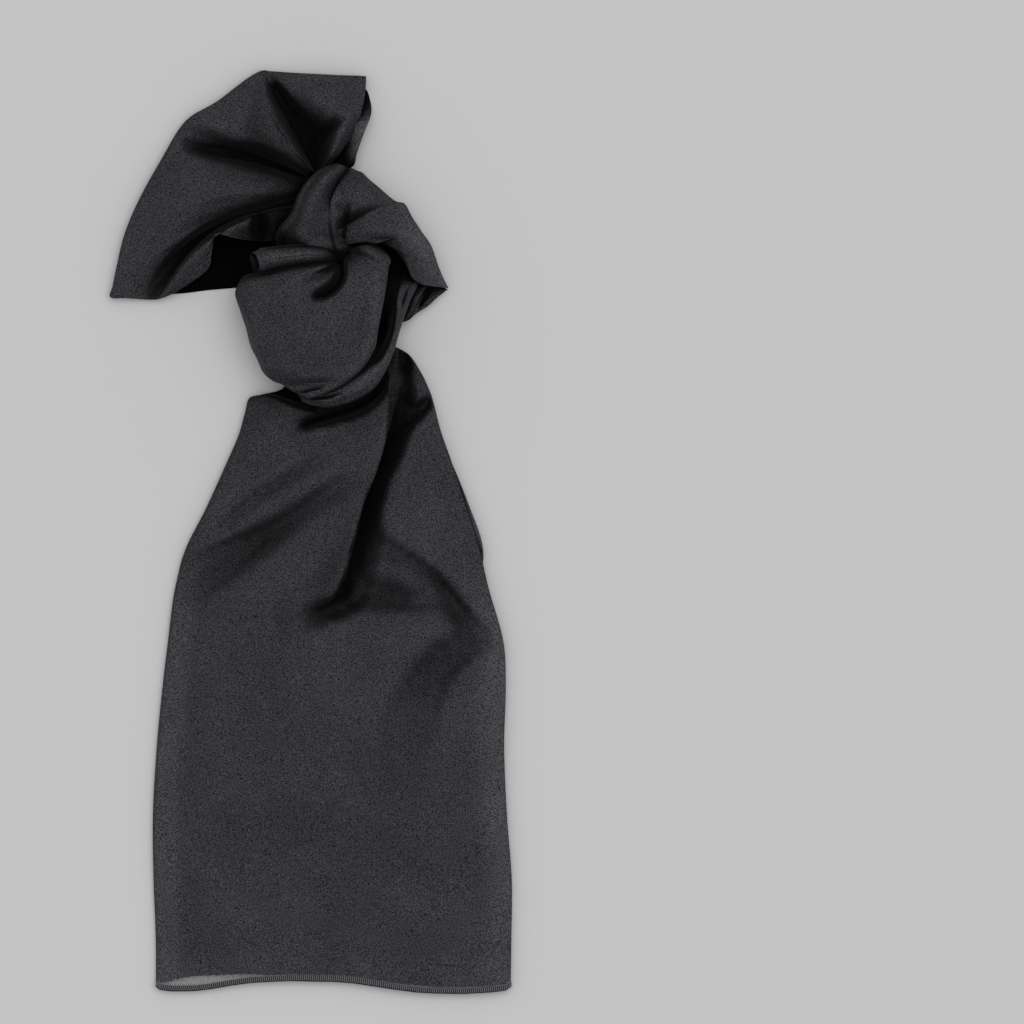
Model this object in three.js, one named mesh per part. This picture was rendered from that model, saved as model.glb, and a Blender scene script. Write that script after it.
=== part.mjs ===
/**
 * Square scarf: a black crepe square folded to a band, tied in an overhand knot and laid flat.
 *
 * Millimetres, +Z up. The scarf lies on z = 0 with its long end towards -Y. Each stretch of the band
 * is a sheet: a net of sections, shaped by a table of folds, with its edges rolled under and a wall
 * laid on both sides of it.
 */
import * as THREE from 'three';

/* Driving sizes */
const WALL = 1.2;
const GAP = 0.4;
const FLOOR = WALL / 2;
const SECOND_LAYER = FLOOR + WALL + GAP;
const HEM_HEIGHT = 3;
const HEM_THICK = 1.8;
const ROLL_STEPS = 4;
const LOOK = { color: 0x36373b, roughness: 0.92, metalness: 0 };
const THREAD_LOOK = { color: 0x46474c, roughness: 0.85, metalness: 0 };

/* Smooth curves and vectors */

/** Point at t (0 to 1) on a smooth curve through a list of equally spaced rows of numbers. */
function along(list, t) {
  const last = list.length - 1;
  const place = Math.min(Math.max(t, 0), 1) * last;
  const index = Math.min(Math.floor(place), last - 1);
  const f = place - index;
  const pick = (i, k) => {
    if (i < 0) return 2 * list[0][k] - list[1][k];
    if (i > last) return 2 * list[last][k] - list[last - 1][k];
    return list[i][k];
  };
  return list[index].map((_, k) => {
    const [a, b, c, d] = [index - 1, index, index + 1, index + 2].map((i) => pick(i, k));
    const rise = (c - a) * f;
    const bend = (2 * a - 5 * b + 4 * c - d) * f * f;
    const twist = (3 * b - a - 3 * c + d) * f * f * f;
    return 0.5 * (2 * b + rise + bend + twist);
  });
}

/** Straight mix of two rows of numbers. */
function mix(a, b, t) {
  return a.map((value, k) => value + (b[k] - value) * t);
}

/** Evenly spaced numbers from 0 to 1. */
function steps(count) {
  return Array.from({ length: count + 1 }, (_, i) => i / count);
}

/** Number at t on a smooth curve through a list of numbers. */
function level(list, t) {
  return along(list.map((value) => [value]), t)[0];
}

/* Folds */

/** Shift of a point by one fold: a ridge or valley along a path, leaning over by its reach. */
function foldShift(x, y, path) {
  let best = { gap: Infinity };
  for (let i = 0; i + 1 < path.length; i += 1) {
    const [ax, ay] = path[i];
    const [dx, dy] = [path[i + 1][0] - ax, path[i + 1][1] - ay];
    const length = Math.hypot(dx, dy);
    const t = Math.min(Math.max(((x - ax) * dx + (y - ay) * dy) / (length * length), 0), 1);
    const [ox, oy] = [x - ax - t * dx, y - ay - t * dy];
    const gap = Math.hypot(ox, oy);
    if (gap < best.gap) {
      const normal = [-dy / length, dx / length];
      best = { gap, side: dx * oy - dy * ox, normal, row: mix(path[i], path[i + 1], t) };
    }
  }
  const [, , height, left, right, reach] = best.row;
  const width = best.side > 0 ? left : right;
  if (best.gap >= width) return [0, 0, 0];
  const weight = 0.5 * (1 + Math.cos((Math.PI * best.gap) / width));
  return [reach * weight * best.normal[0], reach * weight * best.normal[1], height * weight];
}

/** Moves a point by every fold of a table; a fold never presses it below its lowest level. */
function folded(point, folds, lowest) {
  const sum = [0, 0, 0];
  folds.forEach(({ path }) => {
    foldShift(point[0], point[1], path).forEach((value, k) => { sum[k] += value; });
  });
  const floor = Math.max(Math.min(lowest, point[2]), FLOOR);
  return [point[0] + sum[0], point[1] + sum[1], Math.max(point[2] + sum[2], floor)];
}

/* Sheets */

/** Section that runs straight in plan from left to right, with heights given across it. */
function straight({ left, right, heights }) {
  return heights.map((z, i) => [...mix(left, right, i / (heights.length - 1)), z]);
}

/** Columns that roll an edge down to a level and then back under the sheet. */
function rollColumns(edge, inner, low, under, { steps: underSteps, bulge = Infinity }) {
  return Array.from({ length: ROLL_STEPS + underSteps }, (_, n) => edge.map((point, i) => {
    const k = n + 1;
    const away = [inner.from[i][0] - inner.to[i][0], inner.from[i][1] - inner.to[i][1]];
    const size = Math.hypot(...away) || 1;
    const radius = Math.max((point[2] - low[i]) / 2, 0.05);
    const turn = (Math.min(k, ROLL_STEPS) / ROLL_STEPS) * Math.PI;
    const back = (Math.max(k - ROLL_STEPS, 0) / Math.max(underSteps, 1)) * under[i];
    const out = Math.min(radius, bulge) * Math.sin(turn) - back;
    const drop = radius * (1 - Math.cos(turn));
    return [point[0] + (away[0] / size) * out, point[1] + (away[1] / size) * out, point[2] - drop];
  }));
}

/** Point of a net of sections at v along the sheet and u across it. */
function netPoint(sections, v, u) {
  return along(sections.map((row) => along(row, u)), v);
}

/** Places of the columns at a row, drawn in at the ends so that a rolled edge keeps the outline. */
function drawnIn(sections, v, places, first, last) {
  const [start, end] = [netPoint(sections, v, 0), netPoint(sections, v, 1)];
  const width = Math.hypot(end[0] - start[0], end[1] - start[1]);
  const inset = (roll, u) => {
    if (!roll) return 0;
    const radius = (netPoint(sections, v, u)[2] - level(roll.low, v)) / 2;
    return (Math.min(radius, roll.bulge ?? Infinity) + WALL / 2) / width;
  };
  let [a, b] = [0, 0];
  for (let k = 0; k < 3; k += 1) {
    a = Math.min(inset(first, a), 0.44);
    b = Math.min(inset(last, 1 - b), 0.44);
  }
  return places.map((u) => u + a * (1 - u) * (1 - u) - b * u * u);
}

/** Grid of a sheet: its net, its folds, the drop of its end row, and its rolled side edges. */
function sheetGrid({ sections, rows, columns, folds = [], lowest = WALL, endDrop, first, last }) {
  const places = rows.map((v) => (typeof columns === 'function' ? columns(v) : columns));
  const drawn = rows.map((v, i) => drawnIn(sections, v, places[i], first, last));
  const net = rows.map((v, i) => drawn[i].map((u) => netPoint(sections, v, u)));
  let grid = net.map((row, i) => row.map((point, j) => {
    const moved = folded(point, folds, lowest);
    if (!endDrop) return moved;
    const near = Math.max((rows[i] - endDrop.from) / (1 - endDrop.from), 0);
    const weight = near * near * (3 - 2 * near);
    return moved.map((value, k) => value + weight * along(endDrop.rows, places[i][j])[k]);
  }));
  const flat = grid;
  [['first', first], ['last', last]].forEach(([side, roll]) => {
    if (!roll) return;
    const pick = (row, k) => (side === 'first' ? row[k] : row[row.length - 1 - k]);
    const low = rows.map((v) => Math.max(level(roll.low, v), FLOOR));
    const under = rows.map((v) => level(roll.under, v));
    const inner = { from: net.map((row) => pick(row, 0)), to: net.map((row) => pick(row, 2)) };
    const columnsAdded = rollColumns(flat.map((row) => pick(row, 0)), inner, low, under, roll);
    grid = grid.map((row, i) => {
      const added = columnsAdded.map((column) => column[i]);
      return side === 'first' ? [...added.reverse(), ...row] : [...row, ...added];
    });
  });
  return grid;
}

/** Closed solid of a grid: half a wall on each side of it and a rim round it. */
function sheetGeometry(grid, wall = WALL) {
  const [rows, columns] = [grid.length, grid[0].length];
  const clamp = (k, count) => Math.min(Math.max(k, 0), count - 1);
  const at = (i, j) => new THREE.Vector3(...grid[clamp(i, rows)][clamp(j, columns)]);
  const positions = [];
  [1, -1].forEach((sign) => {
    for (let i = 0; i < rows; i += 1) {
      for (let j = 0; j < columns; j += 1) {
        const across = at(i, j + 1).sub(at(i, j - 1));
        const down = at(i + 1, j).sub(at(i - 1, j));
        const normal = down.cross(across).normalize();
        positions.push(...at(i, j).addScaledVector(normal, (sign * wall) / 2).toArray());
      }
    }
  });
  const front = (i, j) => i * columns + j;
  const back = (i, j) => rows * columns + i * columns + j;
  const faces = [];
  const quad = (a, b, c, d) => faces.push(a, b, c, a, c, d);
  for (let i = 0; i + 1 < rows; i += 1) {
    for (let j = 0; j + 1 < columns; j += 1) {
      quad(front(i, j), front(i + 1, j), front(i + 1, j + 1), front(i, j + 1));
      quad(back(i, j), back(i, j + 1), back(i + 1, j + 1), back(i + 1, j));
    }
  }
  const [endRow, endColumn] = [rows - 1, columns - 1];
  for (let i = 0; i + 1 < rows; i += 1) {
    quad(front(i + 1, 0), front(i, 0), back(i, 0), back(i + 1, 0));
    quad(front(i, endColumn), front(i + 1, endColumn), back(i + 1, endColumn), back(i, endColumn));
  }
  for (let j = 0; j + 1 < columns; j += 1) {
    quad(front(0, j), front(0, j + 1), back(0, j + 1), back(0, j));
    quad(front(endRow, j + 1), front(endRow, j), back(endRow, j), back(endRow, j + 1));
  }
  const geometry = new THREE.BufferGeometry();
  geometry.setAttribute('position', new THREE.Float32BufferAttribute(positions, 3));
  geometry.setIndex(faces);
  geometry.computeVertexNormals();
  return geometry;
}

/* Tail: sections from inside the knot down to the hem, heights from the left fold to the right fold */
const TAIL_SECTIONS = [
  { left: [-7, 90], right: [33, 93], heights: [6, 11, 12, 10, 6.5] },
  { left: [-9.5, 82], right: [41, 91.5], heights: [6, 12.5, 13.5, 11, 6.5] },
  { left: [-14, 73.4], right: [50, 87], heights: [6, 13, 14, 12, 7] },
  { left: [-29, 67.8], right: [56.5, 75], heights: [5, 12, 14, 12, 7] },
  { left: [-33.6, 61.5], right: [60.5, 66], heights: [5, 12, 14.5, 13, 7] },
  { left: [-37, 48], right: [65, 49], heights: [5, 11.5, 15, 14, 6.5] },
  { left: [-43, 33], right: [70, 33], heights: [5, 11, 15, 14, 6] },
  { left: [-52, 11], right: [76.5, 12], heights: [5, 11, 14.5, 13, 6] },
  { left: [-61, -9], right: [83, -8], heights: [4.6, 10, 13, 12, 6] },
  { left: [-67.5, -29], right: [89, -29], heights: [4.4, 8.6, 11, 10.5, 5.6] },
  { left: [-71, -52], right: [95.5, -55], heights: [4.2, 7.4, 9, 9, 5.4] },
  { left: [-73.5, -78], right: [97, -78], heights: [4, 6.6, 7.8, 7.6, 5.2] },
  { left: [-76.5, -108], right: [96.3, -108], heights: [3.8, 6, 6.8, 6.6, 5] },
  { left: [-78.5, -142], right: [98, -142], heights: [3.6, 5.2, 5.6, 5.8, 4.8] },
  { left: [-78.3, -174], right: [99.6, -174], heights: [3.4, 4.8, 5.2, 5.2, 4.6] },
  { left: [-77.4, -202], right: [100, -202], heights: [3.2, 4.4, 4.6, 4.8, 4.4] },
  { left: [-77, -222], right: [99.8, -220.7], heights: [3, 4, 4.2, 4.4, 4.2] },
];

/* Level of the back layer at the sections, and how far it passes the right fold */
const TAIL_BACK = {
  low: [3.2, 3.2, 2.8, 1, ...Array(13).fill(FLOOR)],
  pass: [-6, -6, -6, -4, -3, -2, 1, 2.2, 2, -2, -3, -3, -3, -3, -3, -3, -3],
};

/* Line of the tail's main crease in plan, from the knot down: y and x */
const CREASE_LINE = [[100, 41], [80, 40], [60, 38.6], [45, 37], [20, 30], [0, 24], [-15, 19.5], [-30, 13],
  [-45, 4], [-100, 4], [-240, 6]];
const CREASE_OFFSETS = [-11, -7, -4, -2, -0.5, 1, 2.5, 4.5, 7.5, 11];

/* Folds: x, y, height (a valley is below zero), width on the left and on the right, reach to the left */
const TAIL_FOLDS = [
  { name: 'flap ridge', path: [[38, 86, 0, 3, 16, 0], [36.5, 66, 4, 3, 20, 3.5], [34.5, 46, 5, 3.5, 22, 4.5],
    [27.5, 20, 5, 3.5, 22, 4.5], [20.5, -2, 4.5, 3.5, 20, 4.5], [15, -18, 3, 3.5, 16, 3],
    [4, -38, 0, 4, 12, 0]] },
  { name: 'flap valley', path: [[44, 88, -3, 9, 3, 0], [44, 66, -7, 14, 4, -1], [42.5, 46, -9.5, 16, 5, -2],
    [36, 22, -9, 15, 5, -2], [28, 0, -8, 15, 5, -2], [22, -20, -6, 14, 6, -1], [9, -40, -2.5, 10, 9, 0],
    [-4, -47, 0, 8, 8, 0]] },
  { name: 'shoulder valley', path: [[62, 69, -1, 5, 6, 0], [53, 61, -5, 6, 8, 0], [46, 50, -2, 6, 8, 0]] },
  { name: 'shade under the knot', path: [[-8, 50, 0, 8, 5, 0], [6, 54, -5, 9, 5, 0], [20, 59, -5.5, 9, 5, 0],
    [33, 69, -4, 8, 5, 0]] },
  { name: 'left diagonal', path: [[22, 33, 0, 11, 11, 0], [4, 17, -4, 11, 11, 0], [-14, 5, -5.4, 11, 11, 0],
    [-32, -4, -5.6, 12, 12, 0], [-48, -17, -4, 12, 13, 0], [-60, -30, -1, 12, 14, 0]] },
  { name: 'upper diagonal', path: [[20, 48, 0, 8, 8, 0], [4, 36, -2.2, 9, 9, 0], [-12, 26, -2.6, 9, 9, 0],
    [-30, 14, -2.2, 9, 9, 0], [-48, 0, 0, 9, 9, 0]] },
  { name: 'right arc', path: [[46, -6, 0, 3, 10, 0], [60, -18, -2.6, 3, 12, 0], [71, -31, -3.6, 3, 13, 0],
    [79, -44, -3.2, 4, 13, 0], [86, -57, -1, 5, 12, 0]] },
  { name: 'right hollow', path: [[88, -56, -1, 8, 9, 0], [74, -65, -4.6, 9, 10, 0], [58, -76, -3.8, 9, 11, 0],
    [42, -90, 0, 9, 12, 0]] },
  { name: 'cross shade', path: [[14, -38, -1, 7, 7, 0], [32, -34, -3, 8, 8, 0], [50, -35, -3.2, 8, 8, 0],
    [72, -38, -1, 8, 8, 0]] },
  { name: 'broad dip', path: [[-20, -136, 0, 20, 20, 0], [10, -142, -1, 22, 22, 0],
    [42, -140, 0, 20, 20, 0]] },
];

/* Edge of the front layer below the last section, from the left fold to the right fold */
const HEM_DROP = [-1.9, -4.2, -3.3, -1.2, 0.4, 1.1, 0.6, -0.6, -3, -4.8, -5.4, -5.3, -1.7];

/** Columns of the tail at a row: even ones, drawn together along the main crease. */
function tailColumns(v) {
  const row = along(TAIL_SECTIONS.map(({ left, right }) => [...left, ...right]), v);
  const width = row[2] - row[0];
  let middle = 0.5;
  for (let k = 0; k < 3; k += 1) {
    const y = row[1] + (row[3] - row[1]) * middle;
    const i = CREASE_LINE.findIndex((point, n) => n + 1 < CREASE_LINE.length && y >= CREASE_LINE[n + 1][0]);
    const [[ya, xa], [yb, xb]] = [CREASE_LINE[i], CREASE_LINE[i + 1]];
    const x = Math.min(xa + ((y - ya) / (yb - ya)) * (xb - xa), row[2] - 14);
    middle = (x - row[0]) / width;
  }
  const near = CREASE_OFFSETS.map((offset) => middle + offset / width);
  const before = steps(9).slice(0, -1).map((u) => u * near[0]);
  const after = steps(7).slice(1).map((u) => near[9] + u * (1 - near[9]));
  return [...before, ...near, ...after];
}

const TAIL = {
  sections: TAIL_SECTIONS.map(straight),
  rows: steps(24).map((v) => v * (0.65 + 0.35 * v)),
  columns: tailColumns,
  folds: TAIL_FOLDS,
  lowest: SECOND_LAYER + 2,
  endDrop: { from: 0.9, rows: HEM_DROP.map((drop) => [0, drop, 0]) },
  first: {
    low: TAIL_BACK.low,
    under: TAIL_SECTIONS.map(({ left, right }, i) => right[0] - left[0] + TAIL_BACK.pass[i]),
    steps: 5,
  },
  last: { low: TAIL_BACK.low.map((low) => low + WALL + GAP), under: TAIL_SECTIONS.map(() => 10), steps: 2 },
};

/** Overlocked edge: a flat band with rounded faces along the end of the tail's front layer. */
function hemGeometry() {
  const places = steps(24);
  const rows = [0, 0.5, 1];
  const end = TAIL.sections[TAIL.sections.length - 1];
  const edge = places.map((u) => {
    const [x, y, z] = along(end, u);
    return [x, y + level(HEM_DROP, u), z];
  });
  const grid = rows.map((k) => edge.map(([x, y, z]) => [x, y - 0.6 - k * HEM_HEIGHT, z]));
  return sheetGeometry(grid, HEM_THICK);
}

/* Front turn of the knot: sections from its top edge down, heights from the left side to the right fold */
const WRAP_TOP = [
  [[-37.5, 126.6, 12], [-20, 131.5, 17], [-6, 135, 18], [6, 136, 17], [13, 137, 13], [20, 141.3, 17],
    [28, 143.5, 19], [36, 142.6, 19]],
  [[-39.8, 123.9, 18], [-20, 128.6, 28.5], [-6, 131.2, 30.5], [5, 132.2, 29.5], [12.5, 133, 17],
    [19, 137, 23], [28, 141, 25.6], [40, 137.5, 25.2]],
];
const WRAP_SECTIONS = [
  { left: [-37.8, 119], right: [39.3, 131], heights: [19, 32, 35, 31, 30] },
  { left: [-35.5, 111], right: [37, 121], heights: [20, 33, 37, 34, 31] },
  { left: [-32.5, 102], right: [35, 110], heights: [20, 34, 39, 37, 31] },
  { left: [-29.5, 93], right: [33, 101], heights: [20, 33, 38, 36, 30] },
  { left: [-26.5, 86], right: [30, 91.5], heights: [19, 31, 35, 34, 29] },
  { left: [-22.8, 79.5], right: [25.5, 82], heights: [18, 29, 31, 31, 28] },
  { left: [-18.5, 75.2], right: [20.5, 76], heights: [18, 26, 28.5, 28.5, 27] },
  { left: [-15.5, 71.5], right: [13, 71.2], heights: [20.6, 23.4, 25, 25.6, 25.6] },
  { left: [-10.5, 67.3], right: [4.5, 67.4], heights: [20.8, 22, 23, 23.8, 24] },
  { left: [-6, 64.6], right: [-1.5, 65.2], heights: [21, 21.4, 21.8, 22.4, 22.8] },
];
const WRAP_FOLDS = [
  { name: 'dimple', path: [[14, 139, -6, 3, 3, 0], [16.5, 133, -9, 2.5, 8, 0], [15.5, 125, -9, 2.5, 9, 0],
    [11, 118.5, -7, 2.5, 8, 0], [3, 115.5, -2, 3, 6, 0]] },
  { name: 'right shoulder', path: [[18, 141, 4, 6, 3, 0], [30, 141, 4, 6, 6, 0], [37, 136, 2, 6, 6, 0]] },
  { name: 'lower crease', path: [[-14, 73, -1, 3, 3, 0], [-4, 74.5, -1.4, 3, 3, 0], [12, 75, 0, 3, 3, 0]] },
];

/* Buried turns inside the knot: y of each ring, its left and right, bottom and top, and its wrinkle depth */
const CORE_RINGS = [
  { y: 94.6, left: -9, right: 10, low: 15.4, high: 25, wrinkle: 0 },
  { y: 97, left: -20, right: 19, low: 9, high: 30, wrinkle: 0.4 },
  { y: 104, left: -25, right: 22.5, low: 1.6, high: 32.4, wrinkle: 0.8 },
  { y: 112, left: -27, right: 24, low: 1.6, high: 31, wrinkle: 0.8 },
  { y: 119, left: -28, right: 24, low: 2.9, high: 25, wrinkle: 0.8 },
  { y: 125, left: -26, right: 20, low: 4, high: 20, wrinkle: 0.8 },
  { y: 130, left: -22, right: 15, low: 5, high: 14.5, wrinkle: 0.5 },
  { y: 133, left: -16, right: 10, low: 6.4, high: 11.5, wrinkle: 0 },
];
const CORE_SIDES = 20;
const CORE_WRINKLES = 5;

/** Closed lump of the buried turns: rounded square rings with lengthwise wrinkles, and a flat cap at each end. */
function coreGeometry() {
  const positions = [];
  CORE_RINGS.forEach(({ y, left, right, low, high, wrinkle }) => {
    const [width, height] = [(right - left) / 2, (high - low) / 2];
    for (let k = 0; k < CORE_SIDES; k += 1) {
      const turn = (k / CORE_SIDES) * 2 * Math.PI;
      const [c, s] = [Math.cos(turn), Math.sin(turn)];
      const round = 1 / (Math.abs(c) ** 3 + Math.abs(s) ** 3) ** (1 / 3);
      const depth = s > 0 ? wrinkle * (1 + Math.cos(turn * CORE_WRINKLES * 2)) : 0;
      positions.push(left + width + c * round * (width - depth), y, low + height + s * round * (height - depth));
    }
  });
  const rings = CORE_RINGS.length;
  CORE_RINGS.forEach(({ y, left, right, low, high }, i) => {
    if (i === 0 || i === rings - 1) positions.push((left + right) / 2, y, (low + high) / 2);
  });
  const faces = [];
  const at = (i, k) => i * CORE_SIDES + (k % CORE_SIDES);
  for (let k = 0; k < CORE_SIDES; k += 1) {
    for (let i = 0; i + 1 < rings; i += 1) {
      faces.push(at(i, k), at(i + 1, k), at(i + 1, k + 1), at(i, k), at(i + 1, k + 1), at(i, k + 1));
    }
    faces.push(rings * CORE_SIDES, at(0, k), at(0, k + 1));
    faces.push(rings * CORE_SIDES + 1, at(rings - 1, k + 1), at(rings - 1, k));
  }
  const geometry = new THREE.BufferGeometry();
  geometry.setAttribute('position', new THREE.Float32BufferAttribute(positions, 3));
  geometry.setIndex(faces);
  geometry.computeVertexNormals();
  return geometry;
}

/* Second turn: sections across the crescent from its top right round to the bottom left */
const UNDER_SECTIONS = [
  { left: [31, 142], right: [45, 139], heights: [7, 7, 7] },
  { left: [31, 131], right: [53.5, 126], heights: [11, 11.5, 10.5] },
  { left: [29, 120], right: [50, 115], heights: [14, 16, 13.5] },
  { left: [28, 110], right: [46.5, 107], heights: [16, 18, 15] },
  { left: [27, 100], right: [43, 98], heights: [17.5, 19, 16.5] },
  { left: [23, 91], right: [41, 89], heights: [18, 19.5, 17.5] },
  { left: [19, 84], right: [38, 79.5], heights: [18, 20, 18] },
  { left: [13, 78.5], right: [32, 71], heights: [18.5, 20.3, 18.6] },
  { left: [5, 74.5], right: [22, 64.5], heights: [18.5, 20.3, 18.6] },
  { left: [-3, 72.5], right: [10, 61.3], heights: [18, 20, 18.4] },
  { left: [-6.5, 71], right: [2.5, 62], heights: [17.2, 17.8, 17.4] },
  { left: [-7, 69.5], right: [-3.4, 64.8], heights: [16.9, 16.9, 16.9] },
];
const UNDER_LOW = [5, 6, 7, 8, 11, 14, 15.2, 16, 16.2, 16.2, 16.2, 16.2];

/* Rolled edge over the front turn: sections from its open left end to the eye of the knot */
const LIP_SECTIONS = [
  { left: [-30.8, 139], right: [-28.6, 130.4], heights: [29, 32, 29] },
  { left: [-25, 141.4], right: [-22.5, 130.6], heights: [29.4, 33.4, 30.4] },
  { left: [-15, 142.4], right: [-13.5, 132.3], heights: [29.4, 33.6, 31] },
  { left: [-5, 143], right: [-4, 133.8], heights: [29.4, 33.2, 31] },
  { left: [3, 143.2], right: [3.5, 134.4], heights: [28.4, 31.6, 30] },
  { left: [8, 139.6], right: [8.5, 134.8], heights: [25, 27, 26] },
  { left: [12.6, 137.4], right: [12.9, 135.4], heights: [20, 20.6, 20.2] },
];

/* Gathered band from the eye up to the short end, heights from its left edge to its right edge */
const NECK_SECTIONS = [
  { left: [-9, 137], right: [29, 136], heights: [6, 6.8, 6.8, 6] },
  { left: [-11.5, 144.5], right: [24, 143], heights: [15, 18.5, 12, 7] },
  { left: [-11.3, 151], right: [12.5, 150], heights: [18, 23.5, 20, 13] },
  { left: [-9.5, 159], right: [12.5, 159.5], heights: [18.5, 25, 22.5, 17] },
  { left: [-6, 168], right: [14, 167], heights: [18.5, 25, 22, 16] },
  { left: [-1, 175.5], right: [17, 173], heights: [18, 24, 21, 14] },
  { left: [5, 181], right: [20, 177.5], heights: [16, 21, 17, 10.5] },
  { left: [13, 183.8], right: [20.3, 181], heights: [13, 15, 12.5, 9.5] },
];

/* Side loop, front layer: points of each section from the fold beside the neck to the outer edge */
const LOOP_SECTIONS = [
  [[20.3, 182, 14], [21, 182, 14], [22, 181.8, 12.5], [23, 181.5, 10]],
  [[14.7, 174, 20], [19, 174.5, 20.5], [26, 175, 17], [31.5, 174.5, 9]],
  [[10.8, 166, 22.5], [18, 166.5, 22], [30, 167, 19], [40, 164, 9.5]],
  [[9.9, 158.5, 23], [18, 158.5, 20], [33, 160, 21], [48.3, 158.8, 10]],
  [[10.5, 151, 23], [18, 151, 21], [36, 152.5, 22], [55.5, 149.5, 10]],
  [[12, 145, 21.5], [18, 145.5, 22], [38, 148.5, 22], [61, 138.5, 9.5]],
  [[13.4, 138.6, 17], [18, 142.8, 24], [33, 144.6, 26], [41, 144.5, 25], [45.5, 137, 22], [49.5, 127, 20],
    [57, 123.4, 14], [67.6, 121.6, 7.5]],
];
const LOOP_FOLDS = [
  { name: 'slit', path: [[21, 166, 0, 2, 2, 0], [19, 158, -7, 3, 3, 0], [17.2, 151, -9, 3, 3, 0],
    [15.5, 140, -9, 3, 3, 0]] },
  { name: 'loop crease', path: [[19, 151, -1.6, 2, 6, 0], [28, 158, -2.2, 2, 7, 0],
    [37, 163.6, 0, 2, 6, 0]] },
];

/* Side loop, back layer: sections from inside the loop to its lower rim */
const LOOP_BACK_SECTIONS = [
  [[20, 150, FLOOR], [40, 152, FLOOR], [54, 147, 2]],
  [[22, 134, FLOOR], [44, 132, FLOOR], [63, 130, 3.4]],
  [[27, 119, FLOOR], [46, 117, 1.2], [66.5, 122.5, 3.9]],
  [[33, 108, FLOOR], [46.6, 105.9, 2.4], [52, 109.6, 3.4], [58, 112.5, 3.8], [63, 118, 3.8],
    [67.4, 121, 3.9]],
];

/* Short end, front layer: ribs from its right fold round to the void beside the knot */
const FAN_RIBS = [
  { inner: [7, 181], outer: [26.7, 226.3], bow: 5.5, heights: [9, 11, 11, 9, 6] },
  { inner: [6, 181], outer: [22, 226.8], bow: 3, heights: [9, 17, 16, 13, 6] },
  { inner: [5, 181], outer: [13, 227.4], bow: 1, heights: [8, 8, 12, 14, 6] },
  { inner: [3, 180.5], outer: [1, 228], bow: 0, heights: [6, 4, 5, 13, 6] },
  { inner: [2, 180], outer: [-14, 228.8], bow: 0, heights: [6, 4, 4.5, 9, 6] },
  { inner: [1, 180], outer: [-23.5, 229.8], bow: 0, heights: [11, 18, 18, 14, 6] },
  { inner: [0, 179.5], outer: [-33, 225.8], bow: 0, heights: [11, 19, 18, 14, 6] },
  { inner: [-1, 179], outer: [-47, 214.7], bow: 0, heights: [11, 14, 15, 13, 6] },
  { inner: [-2, 178], outer: [-59.5, 206.4], bow: 0, heights: [8, 8, 10, 12, 6] },
  { inner: [0, 178.5], outer: [-66.5, 199.5], bow: 2.5, heights: [6, 4.5, 4.5, 7, 5.5] },
  { inner: [1, 175], outer: [-73.5, 187], bow: 0, heights: [11, 14, 15, 13, 6] },
  { inner: [0, 171], outer: [-84, 167], bow: 0, heights: [12, 19, 19, 14, 6] },
  { inner: [-1, 168], outer: [-92.5, 149.5], bow: 4, heights: [12, 17, 17, 13, 6] },
  { inner: [-1, 166.5], outer: [-97, 132], bow: 7, heights: [9, 12, 12, 10, 5.5] },
  { inner: [-2, 166], outer: [-100, 118.4], bow: 9, heights: [8, 9, 9, 8, 5] },
  { inner: [-3, 165], outer: [-82, 117], bow: 13, heights: [6, 4.5, 4.5, 5, 4.6] },
  { inner: [-3, 161], outer: [-75.5, 117.6], bow: 12, heights: [10, 14, 14, 12, 5] },
];
const FAN_VOID_EDGE = [[-5, 145, 10], [-19, 145, 11.4], [-30, 145.3, 13], [-40, 147, 14], [-47.5, 148.6, 14],
  [-49.3, 141, 13], [-51, 132, 11.5], [-58, 126, 9], [-68, 119.6, 5]];

/* Short end, back layer: spokes from inside to its outline, from the right round to the knot */
const FAN_BACK_OUTLINE = [[19, 186], [24.6, 193], [27.4, 200], [29.3, 207], [29.3, 212], [27.8, 217],
  [25.6, 224], [10, 225.6], [-12, 226.6], [-24, 227], [-46, 213], [-59, 204], [-65, 198], [-79, 173],
  [-90, 149], [-95, 131], [-97.5, 119.6], [-80, 118.8], [-65, 120], [-52, 121.6], [-40, 122.9],
  [-33, 123.6], [-26, 127], [-19, 132], [-12, 138], [-5, 143]];
const FAN_BACK_MIDDLE = [-20, 165];

/** Section of a rib: from inside to outside, bowed to its right, with heights along it. */
function rib({ inner, outer, bow, heights }) {
  const [dx, dy] = [outer[0] - inner[0], outer[1] - inner[1]];
  const length = Math.hypot(dx, dy);
  return heights.map((z, i) => {
    const t = i / (heights.length - 1);
    const out = (bow * 4 * t * (1 - t)) / length;
    return [inner[0] + t * dx + dy * out, inner[1] + t * dy - dx * out, z];
  });
}

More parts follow.
